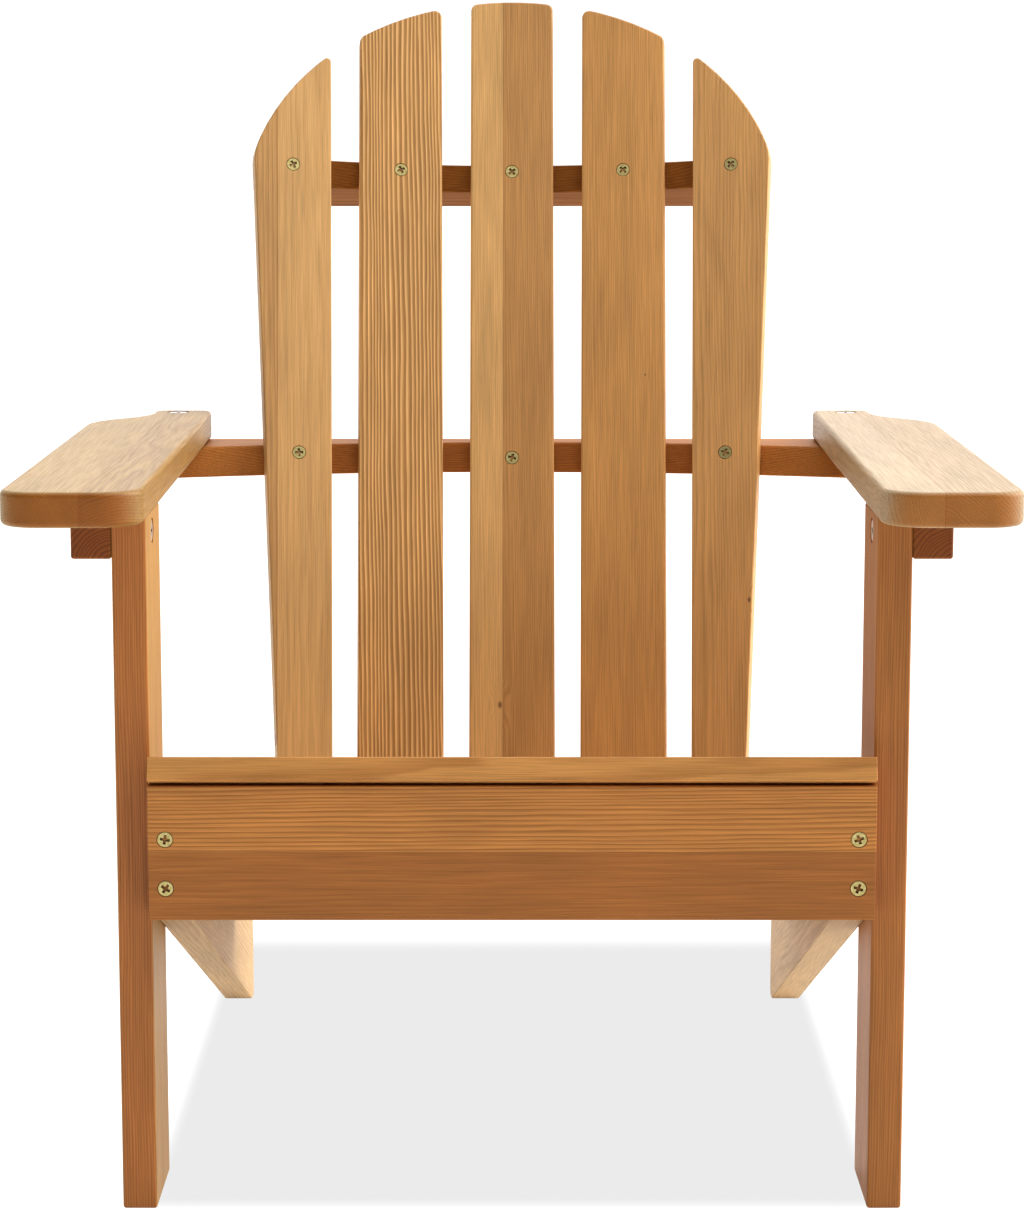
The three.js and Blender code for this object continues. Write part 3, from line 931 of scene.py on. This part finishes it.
@dataclass
class Fastener:
    """A turned screw or bolt, modelled once with the top of its head at the origin."""

    name: str
    head: float
    rim: float
    shank: float
    length: float
    cross: float
    blade: float
    recess: float
    countersunk: bool
    slot: Slot
    finish: ZincPlate
    rim_round: float = 0.35 * MM
    recess_round: float = 0.12 * MM
    sides: int = 48
    pattern: Piece | None = None

    def model(self) -> None:
        """Models the pattern that every copy is taken from."""
        deselect()
        bpy.ops.mesh.primitive_cylinder_add(
            vertices=self.sides,
            radius=self.head / 2,
            depth=self.rim,
            location=(0, 0, -self.rim / 2),
        )
        piece = bpy.context.object
        piece.name = piece.data.name = self.name
        fix_place()
        edit(piece)
        neck = self.shank / self.head
        bottom = -self.rim
        pick(Pick.FACES, lambda place: place.z < bottom + TOUCHING)
        drop = (self.head - self.shank) / 2
        if self.countersunk:
            extrude(drop, neck)
            bottom -= drop
        else:
            bpy.ops.mesh.inset(thickness=drop)
        extrude(self.length * 0.8 + bottom)
        extrude(self.length * 0.2, 0.12 if self.countersunk else 0.8)
        # The rim of the head is broken by a small round.
        pick(Pick.EDGES, lambda place: place.z > -TOUCHING)
        bevel(self.rim_round, 3)
        close()
        for turn in (0.0, math.pi / 2):
            cutter = self.blade_cutter(turn)
            finish_modifier(piece, "BOOLEAN", operation="DIFFERENCE", object=cutter, solver="EXACT")
            bpy.data.objects.remove(cutter)
        edit(piece)
        reach = self.cross / 2 + 0.2 * MM
        pick(Pick.EDGES, lambda place: place.z > -TOUCHING and place.xy.length < reach)
        bevel(self.recess_round, 2)
        close()
        # Faces inside the cross take the second material, painted dark as shade.
        for skin in (self.finish.material(), self.finish.recess()):
            piece.data.materials.append(skin)
        for face in piece.data.polygons:
            inside = face.center.xy.length < reach and face.center.z > -self.recess - 0.1 * MM
            face.material_index = int(inside and face.center.z < -0.1 * MM)
        self.pattern = piece

    def blade_cutter(self, turn: float) -> Piece:
        """One tapered blade of the cross that the driver's recess is struck with.

        Args:
            turn: its turn about the screw, in radians.

        Returns:
            The cutter, to be removed after use.
        """
        half = self.cross / 2
        low = Vector((-half, -self.blade / 2, -self.recess))
        high = Vector((half, self.blade / 2, 1.0 * MM))
        cutter = blank("blade_cutter", low, high)
        edit(cutter)
        pick(Pick.FACES, lambda place: place.z < low.z + TOUCHING)
        bpy.ops.transform.resize(value=(0.6, 0.8, 1), center_override=(0, 0, low.z))
        bpy.ops.mesh.select_all(action="SELECT")
        bpy.ops.transform.rotate(value=turn, orient_axis="Z", center_override=(0, 0, 0))
        close()
        return cutter

    def place(self, name: str, placing: Matrix, turn: float, node: str | None) -> Piece:
        """Drives one copy home.

        Args:
            name: the copy's name.
            placing: the frame at the top of its head.
            turn: how far the cross is turned, in radians.
            node: the CAD node it stands for, if it has one.

        Returns:
            The copy.
        """
        copy = bpy.data.objects.new(name, self.pattern.data.copy())
        copy.data.name = name
        link(copy)
        settle(copy, placing @ Matrix.Rotation(turn, 4, "Z"), 35.0)
        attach(copy, BODY)
        if node:
            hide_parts(node)
        return copy

    def put_away(self) -> None:
        """Removes the pattern once every copy is made."""
        bpy.data.objects.remove(self.pattern)


@dataclass
class Fixings:
    """Every screw and bolt of the chair, and the holes that they need."""

    screw: Fastener = field(
        default_factory=lambda: Fastener(
            name="wood_screw",
            head=11.6 * MM,
            rim=0.7 * MM,
            shank=5.0 * MM,
            length=34.0 * MM,
            cross=8.0 * MM,
            blade=2.1 * MM,
            recess=2.6 * MM,
            countersunk=True,
            slot=Slot.YELLOW,
            finish=ZincPlate("yellow_zinc_plated_steel", "#dccf9c", "#aa9c62", 0.42, "#2a2113"),
        )
    )
    bolt: Fastener = field(
        default_factory=lambda: Fastener(
            name="connecting_bolt",
            head=16.5 * MM,
            rim=3.5 * MM,
            shank=6.0 * MM,
            length=40.0 * MM,
            cross=8.6 * MM,
            blade=2.2 * MM,
            recess=2.8 * MM,
            countersunk=False,
            slot=Slot.BRIGHT,
            finish=ZincPlate("bright_zinc_plated_steel", "#f2f2f3", "#c9cbd0", 0.3, "#3a3833"),
        )
    )
    screw_hole: float = 12.3 * MM
    screw_hole_depth: float = 1.5 * MM
    bolt_bore: float = 19.0 * MM
    bolt_hole_depth: float = 3.45 * MM
    screw_hole_round: float = 0.25 * MM
    bolt_bore_round: float = 0.6 * MM
    cutter_above: float = 8.0 * MM
    turns: np.random.Generator = field(default_factory=lambda: np.random.default_rng(7))

    def prepare(self) -> None:
        """Models the two patterns."""
        self.screw.model()
        self.bolt.model()

    def kind(self, node: str) -> Fastener:
        """The pattern that a CAD node is a copy of."""
        return self.bolt if "bolt" in node else self.screw

    def drive_all(self) -> int:
        """Puts a copy at every screw and bolt of the CAD.

        Returns:
            How many were placed.
        """
        nodes = sorted(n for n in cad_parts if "screw" in n or "bolt" in n)
        for node in nodes:
            placing = place_fastener(node)
            turn = float(self.turns.uniform(0, math.pi / 2))
            self.kind(node).place(f"plated_{node}", placing.matrix, turn, node)
        return len(nodes)

    def bore(self, piece: Piece, placing: Placing, heads: Sequence[Head]) -> None:
        """Bores a board, still in its own frame, for the heads that it holds.

        Args:
            piece: the board.
            placing: the board's own frame.
            heads: for each head, its frame in the scene and whether it is a bolt's.
        """
        if not heads:
            return
        inverse = placing.matrix.inverted()
        cutters = []
        for matrix, is_bolt in heads:
            own = inverse @ matrix
            radius = (self.bolt_bore if is_bolt else self.screw_hole) / 2
            depth = self.bolt_hole_depth if is_bolt else self.screw_hole_depth
            above = self.cutter_above
            spot = own @ Vector((0, 0, (above - depth) / 2))
            deselect()
            bpy.ops.mesh.primitive_cylinder_add(
                vertices=40,
                radius=radius,
                depth=above + depth,
                location=spot,
                rotation=own.to_euler(),
            )
            fix_place()
            cutters.append(bpy.context.object)
        deselect()
        for cutter in cutters:
            cutter.select_set(True)
        bpy.context.view_layer.objects.active = cutters[0]
        if len(cutters) > 1:
            bpy.ops.object.join()
        finish_modifier(piece, "BOOLEAN", operation="DIFFERENCE", object=cutters[0], solver="EXACT")
        bpy.data.objects.remove(cutters[0])
        for matrix, is_bolt in heads:
            self.soften_rim(piece, inverse @ matrix, is_bolt)

    def soften_rim(self, piece: Piece, own: Matrix, is_bolt: bool) -> None:
        """Takes the crispness off the mouth of one hole.

        Args:
            piece: the board.
            own: the head's frame in the board's frame.
            is_bolt: whether the hole is a bolt's counterbore.
        """
        radius = (self.bolt_bore if is_bolt else self.screw_hole) / 2
        inverse = own.inverted()

        def at_mouth(place: Vector) -> bool:
            """Whether a vertex is on the mouth of the hole."""
            at = inverse @ place
            return abs(at.xy.length - radius) < 0.02 * MM and at.z > 0.05 * MM

        edit(piece)
        if pick(Pick.EDGES, at_mouth):
            bevel(self.bolt_bore_round if is_bolt else self.screw_hole_round, 2)
        close()


# ---------------------------------------------------------------- boards


@dataclass
class Joinery:
    """What every board of the chair has in common."""

    fixings: Fixings
    edge: float = 2.2 * MM

    def heads(self, names: Sequence[str]) -> list[Head]:
        """Frames of the CAD fasteners named, each with whether it is a bolt."""
        return [(place_fastener(name).matrix, "bolt" in name) for name in names]

    def finish(
        self,
        piece: Piece,
        node: str,
        placing: Placing,
        wood: FirWood,
        slot: Slot,
        held: Sequence[str] = (),
        more: Sequence[Head] = (),
        edge: float | None = None,
    ) -> Piece:
        """Eases, bores, places and dresses a board that has its shape.

        Args:
            piece: the board, in its own frame.
            node: the CAD node it stands for.
            placing: its frame in the scene.
            wood: its finish.
            slot: not used.
            held: CAD fasteners whose heads are in this board.
            more: heads that have no CAD node.
            edge: rounding of its edges, where it isn't the common one; none where they are round already.

        Returns:
            The finished board.
        """
        width = self.edge if edge is None else edge
        if width:
            edit(piece)
            ease_edges(width)
            close()
        self.fixings.bore(piece, placing, [*self.heads(held), *more])
        settle(piece, placing.matrix)
        grain = placing.matrix.to_3x3() @ X_AXIS
        piece.data.materials.clear()
        piece.data.materials.append(wood.material(placing, grain))
        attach(piece, BODY)
        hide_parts(node)
        log.info("%s: %d faces", piece.name, len(piece.data.polygons))
        return piece

    def squared(self, node: str, along: Vector, out: Vector) -> tuple[Piece, Placing]:
        """A blank that fills a CAD board's own box.

        Args:
            node: the CAD node.
            along: roughly the way the grain runs.
            out: roughly the way its face looks.

        Returns:
            The blank and its frame.
        """
        placing = place_board(node, along, out)
        return blank(f"oiled_{node}", placing.low, placing.high), placing

    def cut_outline(self, piece: Piece, placing: Placing) -> None:
        """Saws a blank to the CAD board's outline, one straight cut after another.

        Args:
            piece: the blank.
            placing: its frame, with the CAD board's points.
        """
        corners = outline(placing.points)
        edit(piece)
        for (ax, ay), (bx, by) in zip(corners, corners[1:] + corners[:1]):
            away = Vector((by - ay, ax - bx, 0)).normalized()
            on_box = min(
                abs(abs(ax) - placing.high.x) + abs(abs(bx) - placing.high.x),
                abs(abs(ay) - placing.high.y) + abs(abs(by) - placing.high.y),
            )
            if on_box > 0.02 * MM:
                saw(Vector((ax, ay, 0)), away)
        close()


@dataclass
class Undercarriage:
    """Front legs, side rails and apron."""

    joinery: Joinery
    apron_edge: float = 1.0 * MM

    def build(self) -> None:
        """Builds and dresses all of it."""
        for side, sign in SIDES:
            self.leg(side, sign)
            self.rail(side, sign)
        self.apron()

    def leg(self, side: str, sign: int) -> None:
        """A front leg: a plain board on edge, bored from both faces."""
        node = f"front_leg_{side}"
        piece, placing = self.joinery.squared(node, Z_AXIS, sign * X_AXIS)
        # The left leg's staves are paler and yellower than the right's: a painted sheen of the light from the
        # right on its broad faces. Its narrow faces get a painted shade that sets them back darker.
        light, dark, flank_shade = {
            "left": ("#bc9457", "#9b703a", "#ffdac7"),
            "right": ("#b87d41", "#975e2b", "#fffffb"),
        }[side]
        stave = Stave(light, dark, 1.9, (70.0 * sign, -160.0), 0.6)
        wood = FirWood(f"oiled_fir_leg_{side}", (stave,), seed=3.1 + sign, roughness=0.42, flank_shade=flank_shade)
        held = [f"rail_bolt_{side}_1", f"rail_bolt_{side}_2", f"cleat_bolt_{side}"]
        self.joinery.finish(piece, node, placing, wood, Slot.FRAME, held)

    def rail(self, side: str, sign: int) -> None:
        """A side rail, sawn plumb at both ends and level at the foot, with a round heel."""
        node = f"side_rail_{side}"
        piece, placing = self.joinery.squared(node, Y_AXIS, sign * X_AXIS)
        self.joinery.cut_outline(piece, placing)
        stave = Stave("#c4a474", "#ab8655", 2.4, (-40.0, -55.0 * sign), 0.6)
        wood = FirWood(f"oiled_fir_rail_{side}", (stave,), seed=5.7 + sign)
        self.joinery.finish(piece, node, placing, wood, Slot.FRAME, [f"brace_end_screw_{side}"])

    def apron(self) -> None:
        """The apron: two staves glued edge to edge, the top bevelled to the seat's slope."""
        node = "front_apron"
        piece, placing = self.joinery.squared(node, X_AXIS, -Y_AXIS)
        seat = place_board("seat_slat_2", X_AXIS, Z_AXIS)
        up = placing.turn(seat.matrix.to_3x3() @ Z_AXIS)
        reach = float((placing.points @ np.array(up)).max())
        edit(piece)
        saw(up * reach, up)
        close()
        upper = Stave("#ca904d", "#a0652d", 3.1, (-120.0, 20.0), 0.75)
        lower = Stave("#ae7438", "#a0652f", 2.2, (30.0, -70.0), 0.5)
        wood = FirWood("oiled_fir_apron", (lower, upper), joint=1.0, seed=1.3, wander=0.7)
        held = [f"apron_screw_{side}_{row}" for side, _ in SIDES for row in (1, 2)]
        self.joinery.finish(piece, node, placing, wood, Slot.FRAME, held, edge=self.apron_edge)


@dataclass
class Seat:
    """Five slats across the rails."""

    joinery: Joinery
    edge: float = 1.0 * MM

    def build(self) -> None:
        """Builds and dresses the slats, front to rear."""
        tones = (
            ("#ce9a5c", "#ac763e"),
            ("#cea167", "#b6874d"),
            ("#c9975a", "#ac7b45"),
            ("#d4ad71", "#b88d56"),
            ("#c9995e", "#ac7d48"),
        )
        for number, (light, dark) in enumerate(tones, start=1):
            node = f"seat_slat_{number}"
            piece, placing = self.joinery.squared(node, X_AXIS, Z_AXIS)
            heart = (45.0 + 12 * number, 30.0 - 20 * number)
            stave = Stave(light, dark, 2.0 + 0.3 * (number % 3), heart, 0.65)
            wood = FirWood(f"oiled_fir_seat_slat_{number}", (stave,), seed=8.0 + 2.3 * number)
            held = [f"seat_screw_{side}_{number}" for side, _ in SIDES]
            self.joinery.finish(piece, node, placing, wood, Slot.SLATS, held, edge=self.edge)


@dataclass
class Hollow:
    """A board whose front edge is cut to the hollow of the back."""

    radius: float = 1018.9 * MM
    stations: int = 20

    def cut(self, piece: Piece, placing: Placing, depth: float, recline: float) -> None:
        """Cuts the hollow and, on the beam, leans its edge with the back.

        Args:
            piece: the blank, its y pointing to the rear.
            placing: its frame.
            depth: depth of the board at its middle.
            recline: how far the back leans from square to the board, in degrees.
        """
        reach = placing.high.x
        stretch = 1 / math.cos(math.radians(recline))
        lean = (placing.high.z - placing.low.z) * math.tan(math.radians(recline))
        front, bottom = placing.low.y, placing.low.z
        edit(piece)
        for k in range(1, self.stations):
            score(Vector((reach * (2 * k / self.stations - 1), 0, 0)), X_AXIS)
        for k in range(self.stations + 1):
            x = reach * (2 * k / self.stations - 1)
            forward = (self.radius - math.sqrt(self.radius**2 - x**2)) * stretch
            shift = placing.high.y - depth - forward - front
            pick(Pick.VERTS, lambda place: abs(place.x - x) < NEAR and place.y < front + NEAR)
            bpy.ops.transform.translate(value=(0, shift, 0))
        if lean:
            pick(Pick.VERTS, lambda place: place.y < placing.high.y - 1e-3 and place.z < bottom + NEAR)
            bpy.ops.transform.translate(value=(0, -lean, 0))
        close()


@dataclass
class Back:
    """Five fanned slats on an upper and a lower brace."""

    joinery: Joinery
    hollow: Hollow
    brace_depth: float = 40.0 * MM

    def build(self) -> None:
        """Builds and dresses braces and slats."""
        # Both braces' colours are darkened as painted shade of the slats in front of them, the upper one
        # most.
        self.brace("upper_back_brace", "#9c6a2f", "#7e4e20", 4.0)
        self.brace("lower_back_brace", "#b57f3f", "#915f28", 9.0)
        for number, wood in enumerate(self.woods(), start=1):
            self.slat(number, wood)

    def brace(self, node: str, light: str, dark: str, seed: float) -> None:
        """A brace behind the slats, its colours darkened as painted shade of the slats in front of it.

        Args:
            node: the CAD node.
            light: colour of its early wood.
            dark: colour of its late wood.
            seed: what makes its grain its own.
        """
        piece, placing = self.joinery.squared(node, X_AXIS, Z_AXIS)
        self.hollow.cut(piece, placing, self.brace_depth, 0.0)
        stave = Stave(light, dark, 2.2, (35.0, 60.0), 0.6)
        wood = FirWood(f"oiled_fir_{node}", (stave,), seed=seed, gloss=0.1)
        self.joinery.finish(piece, node, placing, wood, Slot.FRAME)

    def woods(self) -> tuple[FirWood, ...]:
        """The finish of each slat, from the sitter's right to left."""
        first = (
            Stave("#d5ad76", "#c59b64", 2.6, (-50.0, -90.0), 0.5),
            Stave("#c89f69", "#ad8352", 3.4, (70.0, 40.0), 0.6),
        )
        second = Stave("#af814a", "#efc488", 3.7, (-170.0, 14.0), 0.95)
        third = (
            Stave("#ca9b62", "#b0834b", 1.7, (120.0, 30.0), 0.6),
            Stave("#dcb278", "#cc9f66", 1.9, (-130.0, -40.0), 0.5),
        )
        fourth = Stave("#d4a366", "#bb894e", 1.8, (150.0, 25.0), 0.55)
        fifth = Stave("#daab71", "#be9259", 2.3, (60.0, -45.0), 0.6)
        rows = (
            {"staves": first, "joint": 14.0, "seed": 11.0},
            {"staves": (second,), "seed": 12.7, "wander": 0.8, "runout": 0.012},
            {"staves": third, "joint": 8.0, "seed": 14.1, "knot": (-238.0, 10.5, 1.8)},
            {"staves": (fourth,), "seed": 16.9, "wander": 0.6, "knot": (66.0, -20.0, 0.7)},
            {"staves": (fifth,), "seed": 19.3, "knot": (-118.0, -16.0, 1.4)},
        )
        return tuple(
            FirWood(f"oiled_fir_back_slat_{number}", roughness=0.48, **row)
            for number, row in enumerate(rows, start=1)
        )

    def slat(self, number: int, wood: FirWood) -> None:
        """A back slat, its crown sawn in short straight cuts that read as one curve.

        Args:
            number: its place, from the sitter's right.
            wood: its finish.
        """
        node = f"back_slat_{number}"
        piece, placing = self.joinery.squared(node, Z_AXIS, -Y_AXIS)
        self.joinery.cut_outline(piece, placing)
        rows = ("brace", "beam", "tail") if number % 2 else ("brace", "tail")
        held = [f"{row}_screw_{number}" for row in rows]
        self.joinery.finish(piece, node, placing, wood, Slot.SLATS, held)


@dataclass
class Arms:
    """Arms, their cleats and the beam under their tails."""

    joinery: Joinery
    hollow: Hollow
    edge: float = 4.2 * MM
    beam_depth: float = 34.0 * MM
    recline: float = 21.1
    tail_length: float = 22.0 * MM
    sweep_length: float = 113.0 * MM
    tail_width: float = 51.0 * MM
    toe: float = 6.0 * MM
    front_inner_radius: float = 33.0 * MM
    front_outer_radius: float = 28.0 * MM
    tail_radius: float = 9.0 * MM
    sweep_steps: int = 18

    def build(self) -> None:
        """Builds and dresses all of it."""
        self.beam()
        for side, sign in SIDES:
            self.arm(side, sign)
            self.cleat(side, sign)

    def beam(self) -> None:
        """The beam, its front edge hollowed and leaning with the back."""
        node = "arm_beam"
        piece, placing = self.joinery.squared(node, X_AXIS, Z_AXIS)
        self.hollow.cut(piece, placing, self.beam_depth, self.recline)
        # The beam's colours are darkened as painted shade of the slats in front of it.
        stave = Stave("#b87e41", "#965d2c", 2.0, (40.0, 70.0), 0.55)
        wood = FirWood("oiled_fir_beam", (stave,), seed=21.0, gloss=0.15)
        self.joinery.finish(piece, node, placing, wood, Slot.FRAME)

    def lying(self, node: str) -> Placing:
        """The frame of an arm: x to the rear, y to the sitter's right, z up.

        Args:
            node: the CAD node's name.

        Returns:
            The frame, with its origin at the middle of the node's box.
        """
        low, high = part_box(node)
        matrix = Matrix.Translation((low + high) / 2) @ Matrix.Rotation(math.pi / 2, 4, "Z")
        half = (high - low) / 2
        reach = Vector((half.y, half.x, half.z))
        return Placing(matrix, -reach, reach, np.empty((0, 3)))

    def arm(self, side: str, sign: int) -> None:
        """An arm: rounded at the front, drawn in to a narrow tail by a double curve.

        Args:
            side: left or right.
            sign: -1 or 1, the way outwards along x.
        """
        node = f"arm_{side}"
        placing = self.lying(node)
        spare = Vector((0, 0, self.edge))
        piece = blank(f"oiled_{node}", placing.low + spare, placing.high - spare)
        # Its x runs to the rear, so the way outwards is its -y on the right.
        outer_way = -sign
        length_end = placing.high.x
        width = placing.high.y - placing.low.y
        step = width - self.toe - self.tail_width
        radius = (self.sweep_length**2 + step**2) / (4 * step)
        outer = outer_way * placing.high.y
        sweep_end = length_end - self.tail_length
        sweep_start = sweep_end - self.sweep_length
        edit(piece)
        places = [sweep_start + self.sweep_length * k / self.sweep_steps for k in range(self.sweep_steps + 1)]
        for x in places:
            score(Vector((x, 0, 0)), X_AXIS)
        for x in [*places[1:], length_end]:
            gone = min(x - sweep_start, self.sweep_length)
            if gone < self.sweep_length / 2:
                drawn = radius - math.sqrt(radius**2 - gone**2)
            else:
                drawn = step - (radius - math.sqrt(radius**2 - (self.sweep_length - gone) ** 2))
            pick(Pick.VERTS, lambda place: abs(place.x - x) < NEAR and abs(place.y - outer) < NEAR)
            bpy.ops.transform.translate(value=(0, -outer_way * drawn, 0))
        # The inner edge runs out a little towards the tail.
        inner = -outer
        tail_inner = inner + outer_way * self.toe
        tail_outer = outer - outer_way * step
        saw(Vector((length_end, tail_inner, 0)), Vector((self.toe, -outer_way * 2 * length_end, 0)))
        for x, y, corner in (
            (placing.low.x, inner, self.front_inner_radius),
            (placing.low.x, outer, self.front_outer_radius),
            (length_end, tail_outer, self.tail_radius),
            (length_end, tail_inner, self.tail_radius),
        ):
            pick(Pick.EDGES, lambda place: abs(place.x - x) < NEAR and abs(place.y - y) < NEAR)
            bevel(corner, 12)
        merge_flat()
        for upward in (1, -1):
            round_over(upward, self.edge)
        close()
        # The right arm's tones are paler than the left's: a painted glare of the light from behind on its
        # top.
        tones = {
            "left": ("#a3814c", "#8a6736", "#a98a55", "#94713e"),
            "right": ("#b49975", "#9c7f59", "#b9a180", "#a48a65"),
        }[side]
        staves = (
            Stave(*tones[:2], 2.1, (-35.0 * outer_way, -48.0), 0.65),
            Stave(*tones[2:], 1.6, (60.0 * outer_way, 30.0), 0.6),
        )
        # The arms' end-grain tint is paler than the other boards': partly the oil soak, partly painted light
        # on the arms' front ends.
        looks = {"joint": 8.0 * sign, "seed": 24.0 + sign, "roughness": 0.42, "soak_and_light": "#f6c684"}
        wood = FirWood(f"oiled_fir_arm_{side}", staves, **looks)
        self.joinery.finish(piece, node, placing, wood, Slot.ARMS, [f"arm_bolt_{side}"], edge=0.0)

    def cleat(self, side: str, sign: int) -> None:
        """A cleat under an arm, with two screws up through it.

        Args:
            side: left or right.
            sign: -1 or 1, the way outwards along x.
        """
        node = f"arm_cleat_{side}"
        piece, placing = self.joinery.squared(node, Y_AXIS, -Z_AXIS)
        low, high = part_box(node)
        heads = []
        for share in (0.25, 0.75):
            spot = Vector(((low.x + high.x) / 2, low.y + share * (high.y - low.y), low.z + 0.2 * MM))
            heads.append(Matrix.Translation(spot) @ Matrix.Rotation(math.pi, 4, "X"))
        stave = Stave("#af803d", "#835625", 2.8, (20.0, 26.0), 0.8)
        wood = FirWood(f"oiled_fir_cleat_{side}", (stave,), seed=30.0 + sign)
        more = [(matrix, False) for matrix in heads]
        self.joinery.finish(piece, node, placing, wood, Slot.FRAME, more=more)
        for number, matrix in enumerate(heads, start=1):
            name = f"plated_cleat_screw_{side}_{number}"
            self.joinery.fixings.screw.place(name, matrix, 0.4 * number, None)


# ---------------------------------------------------------------- studio


@dataclass
class Studio:
    """Camera, soft light and a pale floor."""

    camera_place: tuple[float, float, float] = (0.0, -2.7135, 0.831)
    pitch: float = 8.7
    lens: float = 97.4
    # Edges of the shadow painted on the floor, in metres.
    shadow_side: tuple[float, float] = (0.268, 0.296)
    shadow_rear: tuple[float, float] = (0.46, 0.58)
    shadow_front: tuple[float, float] = (-0.28, -0.345)
    lit_floor: float = 1.2
    shaded_floor: float = 0.794

    def build(self) -> None:
        """Sets up all of it."""
        self.camera()
        self.floor()
        self.lights()

    def camera(self) -> None:
        """The camera, level side to side and tipped a little down."""
        data = bpy.data.cameras.new("camera")
        data.lens = self.lens
        data.sensor_width = 36.0
        data.clip_end = 100.0
        camera = bpy.data.objects.new("camera", data)
        camera.location = self.camera_place
        camera.rotation_euler = (math.radians(90 - self.pitch), 0, 0)
        link(camera)
        bpy.context.scene.camera = camera

    def floor(self) -> None:
        """A wide white floor, lit past white, with one soft grey shadow painted under the chair."""
        deselect()
        bpy.ops.mesh.primitive_grid_add(x_subdivisions=4, y_subdivisions=4, size=60)
        floor = bpy.context.object
        floor.name = "studio_floor"
        paper = bpy.data.materials.new("white_paper_sweep")
        paper.use_nodes = True
        tree = paper.node_tree
        tree.nodes.clear()
        coords = add_node(tree, "ShaderNodeTexCoord")
        split = add_node(tree, "ShaderNodeSeparateXYZ", {0: coords.outputs["Object"]})
        sideways = add_node(tree, "ShaderNodeMath", {0: split.outputs[0]}, operation="ABSOLUTE")
        # The painted shadow's edges: where it is whole, and where it has faded out.
        painted_shadow = None
        for socket, whole, gone in (
            (sideways.outputs[0], *self.shadow_side),
            (split.outputs[1], *self.shadow_rear),
            (split.outputs[1], *self.shadow_front),
        ):
            fade = add_node(
                tree,
                "ShaderNodeMapRange",
                {"Value": socket, "From Min": gone, "From Max": whole},
                interpolation_type="SMOOTHSTEP",
            )
            if painted_shadow is None:
                painted_shadow = fade.outputs[0]
            else:
                both = add_node(
                    tree, "ShaderNodeMath", {0: painted_shadow, 1: fade.outputs[0]}, operation="MULTIPLY"
                )
                painted_shadow = both.outputs[0]
        glow = add_node(
            tree,
            "ShaderNodeMapRange",
            {"Value": painted_shadow, "To Min": self.lit_floor, "To Max": self.shaded_floor},
        )
        seen = add_node(tree, "ShaderNodeEmission", {"Strength": glow.outputs[0]})
        # What the floor throws back at the chair is ordinary white paper.
        thrown = add_node(
            tree,
            "ShaderNodeBsdfPrincipled",
            {
                "Base Color": linear("#cacaca"),
                "Roughness": 0.9,
                "Specular IOR Level": 0.1,
                "Emission Color": linear("#ffffff"),
                "Emission Strength": 0.5,
            },
        )
        rays = add_node(tree, "ShaderNodeLightPath")
        mixed = add_node(
            tree,
            "ShaderNodeMixShader",
            {0: rays.outputs["Is Camera Ray"], 1: thrown.outputs[0], 2: seen.outputs[0]},
        )
        add_node(tree, "ShaderNodeOutputMaterial", {"Surface": mixed.outputs[0]})
        floor.data.materials.append(paper)

    def lights(self) -> None:
        """One broad light high on the right, a weaker one in front, and a bright room."""
        for name, strength, angle, source in (
            ("key", 2.1, 55.0, Vector((0.9, 0.05, 0.42))),
            ("overhead", 0.6, 70.0, Vector((0.0, 0.0, 1.0))),
        ):
            data = bpy.data.lights.new(name, "SUN")
            data.energy = strength
            data.angle = math.radians(angle)
            lamp = bpy.data.objects.new(name, data)
            lamp.rotation_euler = source.to_track_quat("Z", "Y").to_euler()
            link(lamp)
        # A softbox above the front lights the head of the back more than its foot.
        data = bpy.data.lights.new("front_softbox", "AREA")
        data.shape = "SQUARE"
        data.size = 1.0
        data.energy = 4.0
        lamp = bpy.data.objects.new("front_softbox", data)
        lamp.location = (0.25, -0.9, 1.9)
        aim = Vector((0.0, 0.3, 0.75)) - lamp.location
        lamp.rotation_euler = aim.to_track_quat("-Z", "Y").to_euler()
        link(lamp)
        scene = bpy.context.scene
        world = bpy.data.worlds.new("bright_room")
        world.use_nodes = True
        tree = world.node_tree
        tree.nodes.clear()
        # The room is brightest behind the chair and to the right, and dim where the camera stands.
        coords = add_node(tree, "ShaderNodeTexCoord")
        toward = add_node(
            tree,
            "ShaderNodeVectorMath",
            {0: coords.outputs["Generated"], 1: Vector((0.42, 0.8, 0.42)).normalized()},
            operation="DOT_PRODUCT",
        )
        level = add_node(
            tree,
            "ShaderNodeMapRange",
            {
                "Value": toward.outputs["Value"],
                "From Min": -0.35,
                "From Max": 1.0,
                "To Min": 0.16,
                "To Max": 1.8,
            },
            interpolation_type="SMOOTHSTEP",
        )
        rays = add_node(tree, "ShaderNodeLightPath")
        room = add_node(
            tree, "ShaderNodeBackground", {"Color": (1, 1, 1, 1), "Strength": level.outputs[0]}
        )
        seen = add_node(tree, "ShaderNodeBackground", {"Color": (1, 1, 1, 1), "Strength": 1.0})
        mixed = add_node(
            tree,
            "ShaderNodeMixShader",
            {0: rays.outputs["Is Camera Ray"], 1: room.outputs[0], 2: seen.outputs[0]},
        )
        add_node(tree, "ShaderNodeOutputWorld", {"Surface": mixed.outputs[0]})
        scene.world = world
        scene.view_settings.view_transform = "Standard"
        scene.view_settings.look = "None"
        scene.view_settings.exposure = 0.12
        scene.view_settings.gamma = 0.8


def main() -> None:
    """Builds the chair piece by piece, then the studio round it."""
    logging.basicConfig(level=logging.INFO, format="%(name)s: %(message)s")
    fixings = Fixings()
    fixings.prepare()
    log.info("screw and bolt modelled")
    joinery = Joinery(fixings)
    hollow = Hollow()
    for name, part in (
        ("undercarriage", Undercarriage(joinery)),
        ("seat", Seat(joinery)),
        ("back", Back(joinery, hollow)),
        ("arms", Arms(joinery, hollow)),
        ("studio", Studio()),
    ):
        part.build()
        log.info("%s built", name)
    log.info("%d fasteners driven", fixings.drive_all())
    fixings.screw.put_away()
    fixings.bolt.put_away()


if __name__ == "__main__":
    main()
